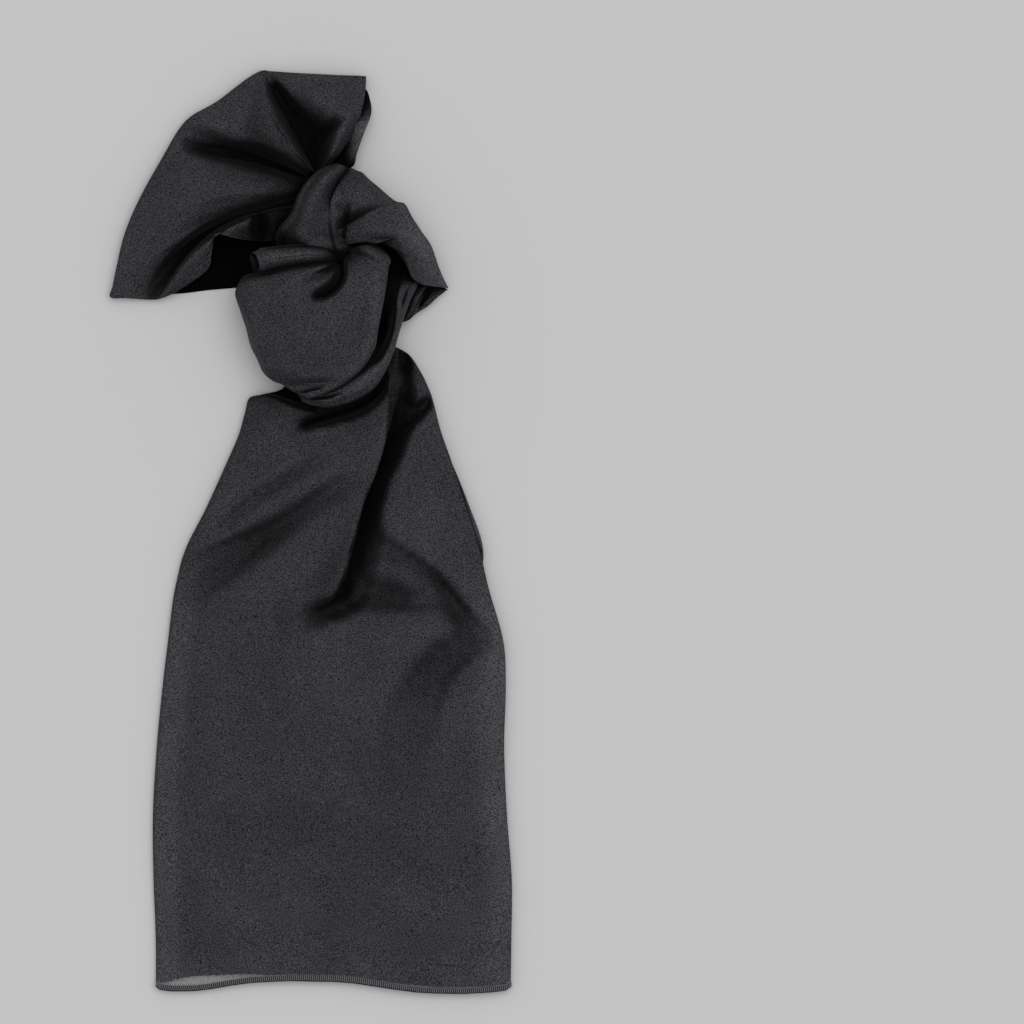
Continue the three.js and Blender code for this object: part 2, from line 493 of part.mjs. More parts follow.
const SHEETS = {
  knot_wrap: {
    sections: [...WRAP_TOP, ...WRAP_SECTIONS.map(straight)],
    rows: steps(15),
    columns: steps(12),
    folds: WRAP_FOLDS,
    lowest: 12,
    first: {
      low: [2.8, 2.8, 2, FLOOR, FLOOR, FLOOR, FLOOR, FLOOR, 9, 18.4, 18.5, 18.8],
      under: [6, 14, 20, 24, 24, 20, 8, 2, 0.6, 0.4, 0.3, 0.2],
      steps: 2,
      bulge: 5,
    },
    last: {
      low: [19, 22, 24, 24, 24, 23.4, 22.8, 22.4, 22.2, 22, 21.8, 21.4],
      under: [3, 5, 6, 6, 6, 6, 5, 4, 3, 2, 1, 0.3],
      steps: 1,
    },
  },
  under_wrap: {
    sections: UNDER_SECTIONS.map(straight),
    rows: steps(17),
    columns: steps(4),
    last: { low: UNDER_LOW, under: [4, 6, 6, 6, 5, 4, 4, 4, 4, 4, 3, 1], steps: 1 },
  },
  knot_lip: {
    sections: LIP_SECTIONS.map(straight),
    rows: steps(10),
    columns: steps(4),
    first: { low: [23.6, 23.8, 23.8, 23.8, 23.8, 22, 19], under: [3, 3, 3, 3, 3, 1.5, 0.4], steps: 1 },
    last: { low: [25, 26.4, 26.8, 26.8, 26, 23, 19.2], under: [1, 1, 1, 1, 1, 0.5, 0.2], steps: 1 },
  },
  neck_strand: {
    sections: NECK_SECTIONS.map(straight),
    rows: steps(11),
    columns: steps(7),
    first: { low: [5, 13, 14.5, 14.5, 14.5, 14, 13, 11.4], under: [1, 3, 5, 6, 6, 5, 4, 2], steps: 1 },
  },
  loop_front: {
    sections: LOOP_SECTIONS,
    rows: steps(14),
    columns: steps(13),
    folds: LOOP_FOLDS,
    lowest: 16,
    last: { low: [8, 6, 5.6, 5.4, 5.4, 5.4, 5.4], under: [2, 6, 8, 10, 10, 10, 6], steps: 1 },
  },
  loop_back: { sections: LOOP_BACK_SECTIONS, rows: steps(7), columns: steps(8) },
  fan_front: {
    sections: [...FAN_RIBS.map(rib), FAN_VOID_EDGE],
    rows: steps(34),
    columns: steps(9),
    lowest: SECOND_LAYER,
    last: { low: Array(17).fill(SECOND_LAYER), under: Array(17).fill(8), steps: 1 },
  },
  fan_back: {
    sections: FAN_BACK_OUTLINE.map((edge) => [
      [...mix(FAN_BACK_MIDDLE, edge, 0.12), FLOOR],
      [...edge, FLOOR],
    ]),
    rows: steps(25),
    columns: steps(1),
  },
};

/** Named mesh with its own material. */
function piece(name, geometry, look) {
  const mesh = new THREE.Mesh(geometry, new THREE.MeshStandardMaterial(look));
  mesh.name = name;
  return mesh;
}

const scarf = new THREE.Group();
scarf.add(piece('tail', sheetGeometry(sheetGrid(TAIL)), LOOK));
scarf.add(piece('hem', hemGeometry(), THREAD_LOOK));
scarf.add(piece('knot_core', coreGeometry(), LOOK));
Object.entries(SHEETS).forEach(([name, sheet]) => {
  scarf.add(piece(name, sheetGeometry(sheetGrid(sheet)), LOOK));
});

export default scarf;
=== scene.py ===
"""Square scarf in black crepe chiffon, folded to a band, tied in an overhand knot and laid flat.

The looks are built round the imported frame. Each stretch of the band is a sheet of cloth: a net of
sections, shaped by a table of folds, with its edges rolled under. Tables are in millimetres, in the
frame of the solids, and a mesh is made in metres.
"""

from __future__ import annotations

import logging
import math
from dataclasses import dataclass, field
from enum import Enum
from functools import partial
from typing import Callable, Optional, Sequence

import bpy
import numpy as np
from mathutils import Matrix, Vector
from mathutils.bvhtree import BVHTree

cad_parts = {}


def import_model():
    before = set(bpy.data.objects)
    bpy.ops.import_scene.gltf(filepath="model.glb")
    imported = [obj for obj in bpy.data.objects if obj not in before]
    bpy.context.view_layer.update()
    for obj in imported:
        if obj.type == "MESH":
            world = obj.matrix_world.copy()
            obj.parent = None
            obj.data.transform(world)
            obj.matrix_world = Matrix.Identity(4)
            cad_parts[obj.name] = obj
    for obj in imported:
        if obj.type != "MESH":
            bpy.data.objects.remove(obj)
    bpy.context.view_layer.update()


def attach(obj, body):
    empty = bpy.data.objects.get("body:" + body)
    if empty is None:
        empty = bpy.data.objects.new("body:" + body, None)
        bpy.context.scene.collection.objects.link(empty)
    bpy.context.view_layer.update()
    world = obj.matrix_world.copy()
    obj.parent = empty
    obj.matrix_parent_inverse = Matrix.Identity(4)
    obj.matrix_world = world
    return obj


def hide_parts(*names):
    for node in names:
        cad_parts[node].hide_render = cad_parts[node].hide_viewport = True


LOG = logging.getLogger("square_scarf")

# Metres in a millimetre; the lengths below are in millimetres
MM = 0.001
# Thickness of one wall of cloth
WALL = 0.5
# Level of the middle of the lowest wall, just clear of the surface
FLOOR = 0.3
# Level of a layer that lies on the lowest one
SECOND_LAYER = 2.2
# Columns of the half turn of a rolled edge
ROLL_TURNS = 8
# Most of a row's width that one rolled edge may draw in
MOST_DRAWN_IN = 0.44

Rows = Sequence[Sequence[float]]


class Side(Enum):
    """Side edge of a sheet that is rolled under."""

    FIRST = "first"
    LAST = "last"


def along(rows: np.ndarray, t: np.ndarray) -> np.ndarray:
    """Points on a smooth curve through equally spaced rows of numbers.

    Args:
        rows: The rows, shaped (count, values).
        t: Places from 0 to 1 along them.

    Returns:
        One row of numbers for each place.
    """
    last = len(rows) - 1
    place = np.clip(np.asarray(t, float), 0.0, 1.0) * last
    index = np.minimum(np.floor(place).astype(int), last - 1)
    f = (place - index)[..., None]
    padded = np.concatenate([[2 * rows[0] - rows[1]], rows, [2 * rows[last] - rows[last - 1]]])
    a, b, c, d = (padded[index + k] for k in range(4))
    bend = (2 * a - 5 * b + 4 * c - d) * f**2
    twist = (3 * b - a - 3 * c + d) * f**3
    return 0.5 * (2 * b + (c - a) * f + bend + twist)


def level(values: Sequence[float], t: np.ndarray) -> np.ndarray:
    """Numbers on a smooth curve through a list of numbers.

    Args:
        values: The numbers.
        t: Places from 0 to 1 along them.

    Returns:
        One number for each place.
    """
    return along(np.array(values, float)[:, None], t)[..., 0]


def smooth_step(x: np.ndarray) -> np.ndarray:
    """Eased 0 to 1 ramp of numbers that are cut to 0 to 1 first.

    Args:
        x: The numbers.

    Returns:
        The eased numbers.
    """
    x = np.clip(x, 0.0, 1.0)
    return x * x * (3 - 2 * x)


@dataclass(frozen=True)
class Fold:
    """A ridge or a valley along a path on a sheet.

    Attributes:
        name: What the fold is on the scarf.
        path: Rows of x, y, height (below zero for a valley), width on the left and on the right of
            the path's direction and, where it leans over, how far it reaches to the left.
    """

    name: str
    path: Rows

    def shift(self, points: np.ndarray) -> np.ndarray:
        """Shift of each point by the fold.

        Args:
            points: Points shaped (count, 3), in millimetres.

        Returns:
            The shifts, shaped (count, 3).
        """
        path = np.array([(*row, 0)[:6] for row in self.path], float)
        line = along(path, np.linspace(0, 1, 8 * (len(path) - 1) + 1))
        out = np.zeros_like(points)
        reach = line[:, 3:5].max()
        low, high = line[:, :2].min(0) - reach, line[:, :2].max(0) + reach
        near = np.all((points[:, :2] > low) & (points[:, :2] < high), axis=1)
        if not near.any():
            return out
        xy = points[near, None, :2]
        start, step = line[:-1, :2], np.diff(line[:, :2], axis=0)
        length = np.maximum(np.hypot(step[:, 0], step[:, 1]), 1e-6)
        t = np.clip(((xy - start) * step).sum(-1) / length**2, 0, 1)
        off = xy - start - t[..., None] * step
        gap = np.hypot(off[..., 0], off[..., 1])
        best = gap.argmin(1)
        pick = np.arange(len(best))
        t, gap, off = t[pick, best], gap[pick, best], off[pick, best]
        row = line[best] + t[:, None] * (line[best + 1] - line[best])
        side = step[best, 0] * off[:, 1] - step[best, 1] * off[:, 0]
        width = np.maximum(np.where(side > 0, row[:, 3], row[:, 4]), 0.01)
        weight = 0.5 * (1 + np.cos(np.pi * np.clip(gap / width, 0, 1)))
        normal = np.stack([-step[best, 1], step[best, 0]], 1) / length[best, None]
        out[near, :2] = (row[:, 5] * weight)[:, None] * normal
        out[near, 2] = row[:, 2] * weight
        return out


def light_lost(folds: Sequence[Fold], spots: np.ndarray) -> np.ndarray:
    """Share of light lost at each spot, from paths whose heights are shares.

    Args:
        folds: The paths, with heights below zero where the cloth is lighter.
        spots: Points shaped (count, 3), in millimetres.

    Returns:
        The shares, up to 0.95.
    """
    total = sum((fold.shift(spots)[:, 2] for fold in folds), np.zeros(len(spots)))
    return np.clip(total, -1.0, 0.95)


@dataclass(frozen=True)
class Roll:
    """How a side edge rolls down and back under its sheet.

    Attributes:
        low: Levels it comes down to, evenly spaced along the sheet.
        under: How far it runs back under the sheet, in the same way.
        steps: Columns of the stretch underneath.
        bulge: Widest that the turn may stand out.
    """

    low: Sequence[float]
    under: Sequence[float]
    steps: int = 3
    bulge: float = math.inf


@dataclass
class Sheet:
    """A stretch of the band as one sheet of cloth.

    Attributes:
        sections: Rows of points across the sheet, in order along it.
        rows: Places of the net's rows along the sheet, from 0 to 1.
        columns: Places across it, or a function that gives them for a row.
        folds: The folds that shape it.
        lowest: A fold never presses the cloth below this level.
        end_drop: Where along the sheet its last stretch starts to slant, and rows of x and how far
            the end moves there, first for the front and then for the layer under it.
        first: Roll of the first side edge.
        last: Roll of the last side edge.
    """

    sections: list[np.ndarray]
    rows: np.ndarray
    columns: np.ndarray | Callable[[float], np.ndarray]
    folds: Sequence[Fold] = ()
    lowest: float = 1.0
    end_drop: Optional[tuple[float, Rows, Rows]] = None
    first: Optional[Roll] = None
    last: Optional[Roll] = None

    def net(self, v: float, u: np.ndarray) -> np.ndarray:
        """Points of the net at one place along the sheet and at places across it.

        Args:
            v: Place along the sheet.
            u: Places across it.

        Returns:
            One point for each place across.
        """
        last = len(self.sections) - 1
        place = min(max(v, 0.0), 1.0) * last
        index = min(int(place), last - 1)
        f = place - index

        def section(i: int) -> np.ndarray:
            """Points across one section, mirrored past either end of the sheet.

            Args:
                i: Number of the section.

            Returns:
                Its points at the places across.
            """
            if i < 0:
                return 2 * along(self.sections[0], u) - along(self.sections[1], u)
            if i > last:
                return 2 * along(self.sections[last], u) - along(self.sections[last - 1], u)
            return along(self.sections[i], u)

        a, b, c, d = (section(index + k) for k in (-1, 0, 1, 2))
        bend = (2 * a - 5 * b + 4 * c - d) * f**2
        return 0.5 * (2 * b + (c - a) * f + bend + (3 * b - a - 3 * c + d) * f**3)

    def drawn_in(self, v: float, places: np.ndarray) -> np.ndarray:
        """Places across a row, drawn in so that a rolled edge keeps the outline.

        Args:
            v: Place along the sheet.
            places: Places across it.

        Returns:
            The places after both edges are drawn in.
        """
        ends = self.net(v, np.array([0.0, 1.0]))
        width = math.hypot(*(ends[1, :2] - ends[0, :2]))

        def inset(roll: Optional[Roll], u: float) -> float:
            """Share of the width that the turn of an edge takes.

            Args:
                roll: The edge's roll, if it has one.
                u: Place of the edge across the row.

            Returns:
                The share.
            """
            if roll is None:
                return 0.0
            radius = (self.net(v, np.array([u]))[0, 2] - level(roll.low, v)) / 2
            return (min(radius, roll.bulge) + WALL / 2) / width

        a = b = 0.0
        for _ in range(3):
            a = min(inset(self.first, a), MOST_DRAWN_IN)
            b = min(inset(self.last, 1 - b), MOST_DRAWN_IN)
        return places + a * (1 - places) ** 2 - b * places**2

    def folded(self, points: np.ndarray) -> np.ndarray:
        """The net moved by every fold, and never below its lowest level.

        Args:
            points: The net's points.

        Returns:
            The moved points, in the same shape.
        """
        flat = points.reshape(-1, 3)
        total = sum((fold.shift(flat) for fold in self.folds), np.zeros_like(flat))
        moved = flat + total
        floor = np.maximum(np.minimum(self.lowest, flat[:, 2]), FLOOR)
        moved[:, 2] = np.maximum(moved[:, 2], floor)
        return moved.reshape(points.shape)

    def rolled(self, grid: np.ndarray, net: np.ndarray, side: Side, roll: Roll) -> np.ndarray:
        """The grid with the columns of one rolled edge added.

        Args:
            grid: The folded grid, shaped (rows, columns, 3).
            net: The grid before its folds, which gives the directions.
            side: The edge that is rolled.
            roll: How it rolls.

        Returns:
            The wider grid.
        """
        edge, a, b = (0, 0, 2) if side is Side.FIRST else (-1, -1, -3)
        away = net[:, a, :2] - net[:, b, :2]
        away /= np.maximum(np.linalg.norm(away, axis=1), 1e-6)[:, None]
        low = np.maximum(level(roll.low, self.rows), FLOOR)
        under = level(roll.under, self.rows)
        start = grid[:, edge]
        radius = np.maximum((start[:, 2] - low) / 2, 0.05)
        added = []
        for k in range(1, ROLL_TURNS + roll.steps + 1):
            turn = min(k, ROLL_TURNS) / ROLL_TURNS * math.pi
            back = (1 - (1 - max(k - ROLL_TURNS, 0) / roll.steps) ** 2.2) * under
            out = np.minimum(radius, roll.bulge) * math.sin(turn) - back
            drop = radius * (1 - math.cos(turn))
            added.append(np.stack([*(start[:, :2] + away * out[:, None]).T, start[:, 2] - drop], 1))
        columns = np.stack(added if side is Side.LAST else added[::-1], 1)
        return np.concatenate([grid, columns] if side is Side.LAST else [columns, grid], axis=1)

    def grid(self) -> np.ndarray:
        """Makes the whole sheet.

        Returns:
            Points shaped (rows, columns, 3), in millimetres.
        """
        places = [self.columns(v) if callable(self.columns) else self.columns for v in self.rows]
        net = np.array([self.net(v, self.drawn_in(v, u)) for v, u in zip(self.rows, places)])
        grid = self.folded(net)
        columns = grid.shape[1]
        under = 0
        for side, roll in ((Side.FIRST, self.first), (Side.LAST, self.last)):
            if roll is not None:
                grid = self.rolled(grid, net, side, roll)
                under += (ROLL_TURNS + roll.steps) * (side is Side.FIRST)
        if self.end_drop is not None:
            start, *drops = self.end_drop
            weight = smooth_step((self.rows - start) / (1 - start))[:, None]
            front, back = (np.interp(grid[..., 0], *np.array(rows, float).T) for rows in drops)
            lies_on_top = np.arange(grid.shape[1]) >= under
            lies_on_top &= np.arange(grid.shape[1]) < under + columns
            turn = np.clip((under - np.arange(grid.shape[1])) / ROLL_TURNS, 0, 1)
            grid[..., 1] += weight * np.where(lies_on_top, front, front + (back - front) * turn)
        return grid


def straight(rows: Rows) -> list[np.ndarray]:
    """Sections that run straight in plan from left to right, with heights given across them.

    Args:
        rows: Rows of left x, left y, right x, right y, and then the heights.

    Returns:
        One array of points for each row.
    """
    made = []
    for left_x, left_y, right_x, right_y, *heights in rows:
        t = np.linspace(0, 1, len(heights))
        x = left_x + (right_x - left_x) * t
        y = left_y + (right_y - left_y) * t
        made.append(np.stack([x, y, heights], 1))
    return made


def points(rows: Sequence[Rows]) -> list[np.ndarray]:
    """Sections given as rows of points."""
    return [np.array(row, float) for row in rows]


def linear(colour: str) -> tuple[float, float, float, float]:
    """Linear colour of an sRGB hex value.

    Args:
        colour: A hash sign and six hex digits.

    Returns:
        Red, green, blue and alpha.
    """
    parts = [int(colour[i : i + 2], 16) / 255 for i in (1, 3, 5)]
    red, green, blue = (c / 12.92 if c <= 0.04045 else ((c + 0.055) / 1.055) ** 2.4 for c in parts)
    return (red, green, blue, 1.0)


def add_node(
    tree: bpy.types.NodeTree,
    kind: str,
    settings: Optional[dict[str, object]] = None,
    inputs: Optional[dict[str | int, object]] = None,
) -> bpy.types.Node:
    """Adds a node with its settings and its inputs.

    Args:
        tree: The node tree that it goes in.
        kind: Its type's name.
        settings: Values of its own properties.
        inputs: For each input, a value or the output socket that feeds it.

    Returns:
        The node.
    """
    node = tree.nodes.new(kind)
    for key, value in (settings or {}).items():
        setattr(node, key, value)
    for key, value in (inputs or {}).items():
        if isinstance(value, bpy.types.NodeSocket):
            tree.links.new(value, node.inputs[key])
        else:
            node.inputs[key].default_value = value
    return node


def new_material(name: str) -> tuple[bpy.types.Material, bpy.types.NodeTree, bpy.types.Node]:
    """An empty material with a surface shader on its output.

    Args:
        name: The material's name.

    Returns:
        The material, its tree and the shader node.
    """
    material = bpy.data.materials.new(name)
    material.use_nodes = True
    tree = material.node_tree
    tree.nodes.clear()
    shader = add_node(tree, "ShaderNodeBsdfPrincipled")
    add_node(tree, "ShaderNodeOutputMaterial", inputs={"Surface": shader.outputs["BSDF"]})
    return material, tree, shader


def noise(tree: bpy.types.NodeTree, scale: float, detail: float, **more: float) -> bpy.types.NodeSocket:
    """Soft noise fixed to the object.

    Args:
        tree: The node tree that it goes in.
        scale: How often it comes and goes in a metre.
        detail: How much finer noise is laid over it.
        more: Other inputs of the noise by name, of which W gives a pattern of its own.

    Returns:
        The socket of its value.
    """
    place = add_node(tree, "ShaderNodeTexCoord").outputs["Object"]
    settings = {"noise_dimensions": "4D"} if "W" in more else {}
    inputs = {"Vector": place, "Scale": scale, "Detail": detail, **more}
    return add_node(tree, "ShaderNodeTexNoise", settings, inputs).outputs["Fac"]


def spread(
    tree: bpy.types.NodeTree,
    value: bpy.types.NodeSocket,
    low: float,
    high: float,
    span: tuple[float, float] = (0.0, 1.0),
) -> bpy.types.NodeSocket:
    """A value brought from one span to another.

    Args:
        tree: The node tree that it goes in.
        value: The value.
        low: What the span's start becomes.
        high: What its end becomes.
        span: The span that the value is cut to first.

    Returns:
        The socket of the new value.
    """
    inputs = {"Value": value, "From Min": span[0], "From Max": span[1], "To Min": low, "To Max": high}
    return add_node(tree, "ShaderNodeMapRange", inputs=inputs).outputs[0]


def product(tree: bpy.types.NodeTree, first: object, second: object) -> bpy.types.NodeSocket:
    """One value or socket times another."""
    return add_node(tree, "ShaderNodeMath", {"operation": "MULTIPLY"}, {0: first, 1: second}).outputs[0]


def toned(tree: bpy.types.NodeTree, colour: object, factor: object) -> bpy.types.NodeSocket:
    """A colour made lighter or darker by a factor."""
    inputs = {0: colour, "Scale": factor}
    return add_node(tree, "ShaderNodeVectorMath", {"operation": "SCALE"}, inputs).outputs[0]


def vertex_value(tree: bpy.types.NodeTree, name: str) -> bpy.types.NodeSocket:
    """The mesh's own value of that name."""
    return add_node(tree, "ShaderNodeAttribute", {"attribute_name": name}).outputs["Fac"]


@dataclass(frozen=True)
class CrepeFinish:
    """Black polyester crepe chiffon, woven from hard twisted yarn.

    The twist pulls the cloth into pebbles of about a millimetre, which break up its tone, and its
    matt yarns keep only a faint bloom at a glancing angle.

    Attributes:
        name: The material's name.
        colour: Tone of the cloth where it lies flat.
        cool_colour: Tone of the yarns that took the dye a little bluer.
        warm_colour: Tone of the yarns that took it a little browner.
        painted_light_colour: Painted light: the lighter tone where fewer layers show the pale surface
            through.
        pebble: Size of the crepe's pebbles, in millimetres.
        yarn: Spacing of the yarns, drawn twice as coarse as they are so that they show.
        cloud: Size of the slow changes of tone, in millimetres.
        relief: Depth of the pebbles, in metres.
        see_through: Share of what lies behind that shows through.
    """

    name: str = "black_crepe_chiffon"
    colour: str = "#3a3a3e"
    cool_colour: str = "#383a42"
    warm_colour: str = "#3e3b39"
    painted_light_colour: str = "#56565a"
    pebble: float = 0.62
    yarn: float = 0.42
    cloud: float = 1000 / 28
    relief: float = 0.00025
    see_through: float = 0.0

    def make(self) -> bpy.types.Material:
        """Builds the material.

        Returns:
            The material, with the mesh's fold_shade as painted shade and its thin as painted light.
        """
        material, tree, shader = new_material(self.name)
        pebbles = noise(tree, 1000 / self.pebble, 2.0, Roughness=0.6)
        yarns = noise(tree, 1000 / self.yarn, 0.0)
        weave = add_node(
            tree, "ShaderNodeMath", {"operation": "MULTIPLY_ADD"}, {0: yarns, 1: 0.5, 2: pebbles}
        ).outputs[0]
        grain = spread(tree, weave, 0.0, 2.0, span=(0.52, 0.98))
        drift = spread(tree, noise(tree, 1000 / self.cloud, 2.0), 0.88, 1.12, span=(0.3, 0.7))
        dyed = noise(tree, 1000 / self.pebble, 1.0, W=3.7)
        tints = add_node(tree, "ShaderNodeValToRGB", inputs={"Fac": dyed})
        cool, warm = tints.color_ramp.elements
        cool.position, warm.position = 0.36, 0.64
        cool.color, warm.color = linear(self.cool_colour), linear(self.warm_colour)
        tints.color_ramp.elements.new(0.5).color = linear(self.colour)
        # Painted light: the tone is mixed towards a paler grey by the mesh's thin value.
        tone = add_node(
            tree,
            "ShaderNodeMix",
            {"data_type": "RGBA"},
            {0: vertex_value(tree, "painted_light"), 6: tints.outputs["Color"], 7: linear(self.painted_light_colour)},
        )
        # Painted shade: the grain's tone is darkened by the mesh's fold_shade value.
        light = product(tree, product(tree, grain, drift), vertex_value(tree, "fold_shade"))
        bump = add_node(
            tree, "ShaderNodeBump", inputs={"Strength": 0.55, "Distance": self.relief, "Height": weave}
        )
        tree.links.new(toned(tree, tone.outputs[2], light), shader.inputs["Base Color"])
        tree.links.new(bump.outputs[0], shader.inputs["Normal"])
        shader.inputs["Roughness"].default_value = 0.9
        shader.inputs["IOR"].default_value = 1.54
        shader.inputs["Specular IOR Level"].default_value = 0.05
        shader.inputs["Sheen Weight"].default_value = 0.03
        shader.inputs["Sheen Roughness"].default_value = 0.5
        if self.see_through:
            closed = spread(tree, weave, 0.0, 2 - 2 * self.see_through, span=(0.66, 0.84))
            tree.links.new(closed, shader.inputs["Alpha"])
        return material


@dataclass(frozen=True)
class ThreadFinish:
    """Spun polyester sewing thread: soft, a little lighter than the cloth and faintly glossy.

    Attributes:
        name: The material's name.
        colour: Tone of the thread.
    """

    name: str = "overlock_thread"
    colour: str = "#7c7c80"

    def make(self) -> bpy.types.Material:
        """Builds the material.

        Returns:
            The material.
        """
        material, tree, shader = new_material(self.name)
        grey = spread(tree, noise(tree, 2500.0, 1.0), 0.7, 1.3)
        tree.links.new(toned(tree, linear(self.colour)[:3], grey), shader.inputs["Base Color"])
        shader.inputs["Roughness"].default_value = 0.75
        shader.inputs["Specular IOR Level"].default_value = 0.25
        return material


@dataclass(frozen=True)
class PaintedFloorFinish:
    """Plain matt pale floor.

    Attributes:
        name: The material's name.
        colour: Tone of the floor.
    """

    name: str = "pale_matt_floor"
    colour: str = "#d7d7d7"

    def make(self) -> bpy.types.Material:
        """Builds the material.

        Returns:
            The material.
        """
        material, tree, shader = new_material(self.name)
        grey = spread(tree, noise(tree, 900.0, 1.0), 0.99, 1.01)
        tree.links.new(toned(tree, linear(self.colour)[:3], grey), shader.inputs["Base Color"])
        shader.inputs["Roughness"].default_value = 0.9
        shader.inputs["Specular IOR Level"].default_value = 0.1
        return material


@dataclass
class Cloth:
    """A piece of cloth before it becomes a mesh: one or more grids that share a wall thickness.

    Attributes:
        name: The piece's name.
        grids: Grids of points in millimetres.
        flat: Width and length that the stretch was cut to, in metres; not used.
        held: How it lies; not used.
        rests_on: What it lies on; not used.
        stands_for: CAD nodes that it replaces.
        wall: Thickness in millimetres.
        painted_light: Function that gives the share of painted light at each point, where layers are
            missing.
        sheer: Function that marks the see-through points of the first grid.
        lost: Function that gives the share of light lost deep in a hollow at each point.
    """

    name: str
    grids: list[np.ndarray]
    flat: tuple[float, float]
    held: str
    rests_on: list[str]
    stands_for: list[str]
    wall: float = WALL
    painted_light: Optional[Callable[[np.ndarray], np.ndarray]] = None
    sheer: Optional[Callable[[np.ndarray], np.ndarray]] = None
    lost: Optional[Callable[[np.ndarray], np.ndarray]] = None

    @staticmethod
    def normals(grid: np.ndarray) -> np.ndarray:
        """Unit normals of a grid, outwards on its front.

        Args:
            grid: Points shaped (rows, columns, 3).

        Returns:
            The normals, in the grid's shape.
        """
        padded = np.pad(grid, ((1, 1), (1, 1), (0, 0)), mode="edge")
        across = padded[1:-1, 2:] - padded[1:-1, :-2]
        down = padded[2:, 1:-1] - padded[:-2, 1:-1]
        normal = np.cross(down, across)
        return normal / np.maximum(np.linalg.norm(normal, axis=-1, keepdims=True), 1e-9)

    @staticmethod
    def quads(rows: int, columns: int) -> np.ndarray:
        """Faces of one grid's front and back skins and of the rim between them.

        Args:
            rows: The grid's rows.
            columns: Its columns.

        Returns:
            Four vertex numbers for each face, where the back's vertices follow the front's.
        """
        other = rows * columns
        i, j = (a.ravel() for a in np.mgrid[0 : rows - 1, 0 : columns - 1])
        a, b = i * columns + j, (i + 1) * columns + j
        c, d = b + 1, a + 1
        front = np.stack([a, b, c, d], 1)
        back = np.stack([a, d, c, b], 1) + other
        k, m = np.arange(rows - 1) * columns, np.arange(columns - 1)
        first_side = np.stack([k + columns, k, k + other, k + columns + other], 1)
        last_side = np.stack([k, k + columns, k + columns + other, k + other], 1) + columns - 1
        top = np.stack([m, m + 1, m + 1 + other, m + other], 1)
        bottom = np.stack([m + 1, m, m + other, m + 1 + other], 1) + (rows - 1) * columns
        return np.concatenate([front, back, first_side, last_side, top, bottom])

    def layers(self, spots: np.ndarray, shade: np.ndarray) -> dict[str, np.ndarray]:
        """Numbers that the finish reads at each vertex.

        Args:
            spots: The vertices, in millimetres.
            shade: Share of light that reaches each of them between the folds.

        Returns:
            Painted shade with the listed losses, and painted light of missing layers and lit edges.
        """
        if self.lost is not None:
            shade = shade * (1 - self.lost(spots))
        painted_light = self.painted_light(spots) if self.painted_light is not None else np.zeros(len(spots))
        # Painted highlight: cloth that stands on edge where light reaches it is painted paler.
        upright = [np.tile(np.abs(self.normals(grid)[..., 2]).ravel(), 2) for grid in self.grids]
        stands_on_edge = smooth_step((0.7 - np.concatenate(upright)) / 0.6)
        is_lit = smooth_step((shade - 0.1) / 0.2)
        return {"fold_shade": shade, "painted_light": np.maximum(painted_light, stands_on_edge * is_lit)}

    def build(
        self,
        shades: Sequence[tuple[np.ndarray, np.ndarray]],
        finishes: Sequence[bpy.types.Material],
    ) -> bpy.types.Object:
        """Makes the mesh object, with half a wall on each side of each grid and a rim round it.

        Args:
            shades: For each grid, the shade of its front and of its back.
            finishes: The materials, the see-through one second.

        Returns:
            The object.
        """
        vertices, faces, shade, slots = [], [], [], []
        start = 0
        for grid, (front_shade, back_shade) in zip(self.grids, shades):
            normal = self.normals(grid) * self.wall / 2
            vertices += [(grid + normal).reshape(-1, 3), (grid - normal).reshape(-1, 3)]
            shade += [front_shade.ravel(), back_shade.ravel()]
            quads = self.quads(*grid.shape[:2])
            faces.append(quads + start)
            if self.sheer is not None:
                marked = np.tile(self.sheer(grid).ravel() & (start == 0), 2)
                slots.append(marked[quads].all(1))
            start += 2 * front_shade.size
        mesh = bpy.data.meshes.new(self.name)
        co = np.concatenate(vertices) * MM
        quads = np.concatenate(faces)
        mesh.vertices.add(len(co))
        mesh.vertices.foreach_set("co", co.astype(np.float32).ravel())
        mesh.loops.add(quads.size)
        mesh.loops.foreach_set("vertex_index", quads.astype(np.int32).ravel())
        mesh.polygons.add(len(quads))
        mesh.polygons.foreach_set("loop_start", np.arange(0, quads.size, 4, dtype=np.int32))
        mesh.polygons.foreach_set("use_smooth", np.ones(len(quads), bool))
        for finish in finishes:
            mesh.materials.append(finish)
        if slots:
            mesh.polygons.foreach_set("material_index", np.concatenate(slots).astype(np.int32))
        for key, values in self.layers(co / MM, np.concatenate(shade)).items():
            attribute = mesh.attributes.new(key, "FLOAT", "POINT")
            attribute.data.foreach_set("value", values.astype(np.float32))
        mesh.update(calc_edges=True)
        mesh.validate()
        mesh.set_sharp_from_angle(angle=math.radians(60))
        piece = bpy.data.objects.new(f"{self.name}_cloth", mesh)
        bpy.context.scene.collection.objects.link(piece)
        return piece


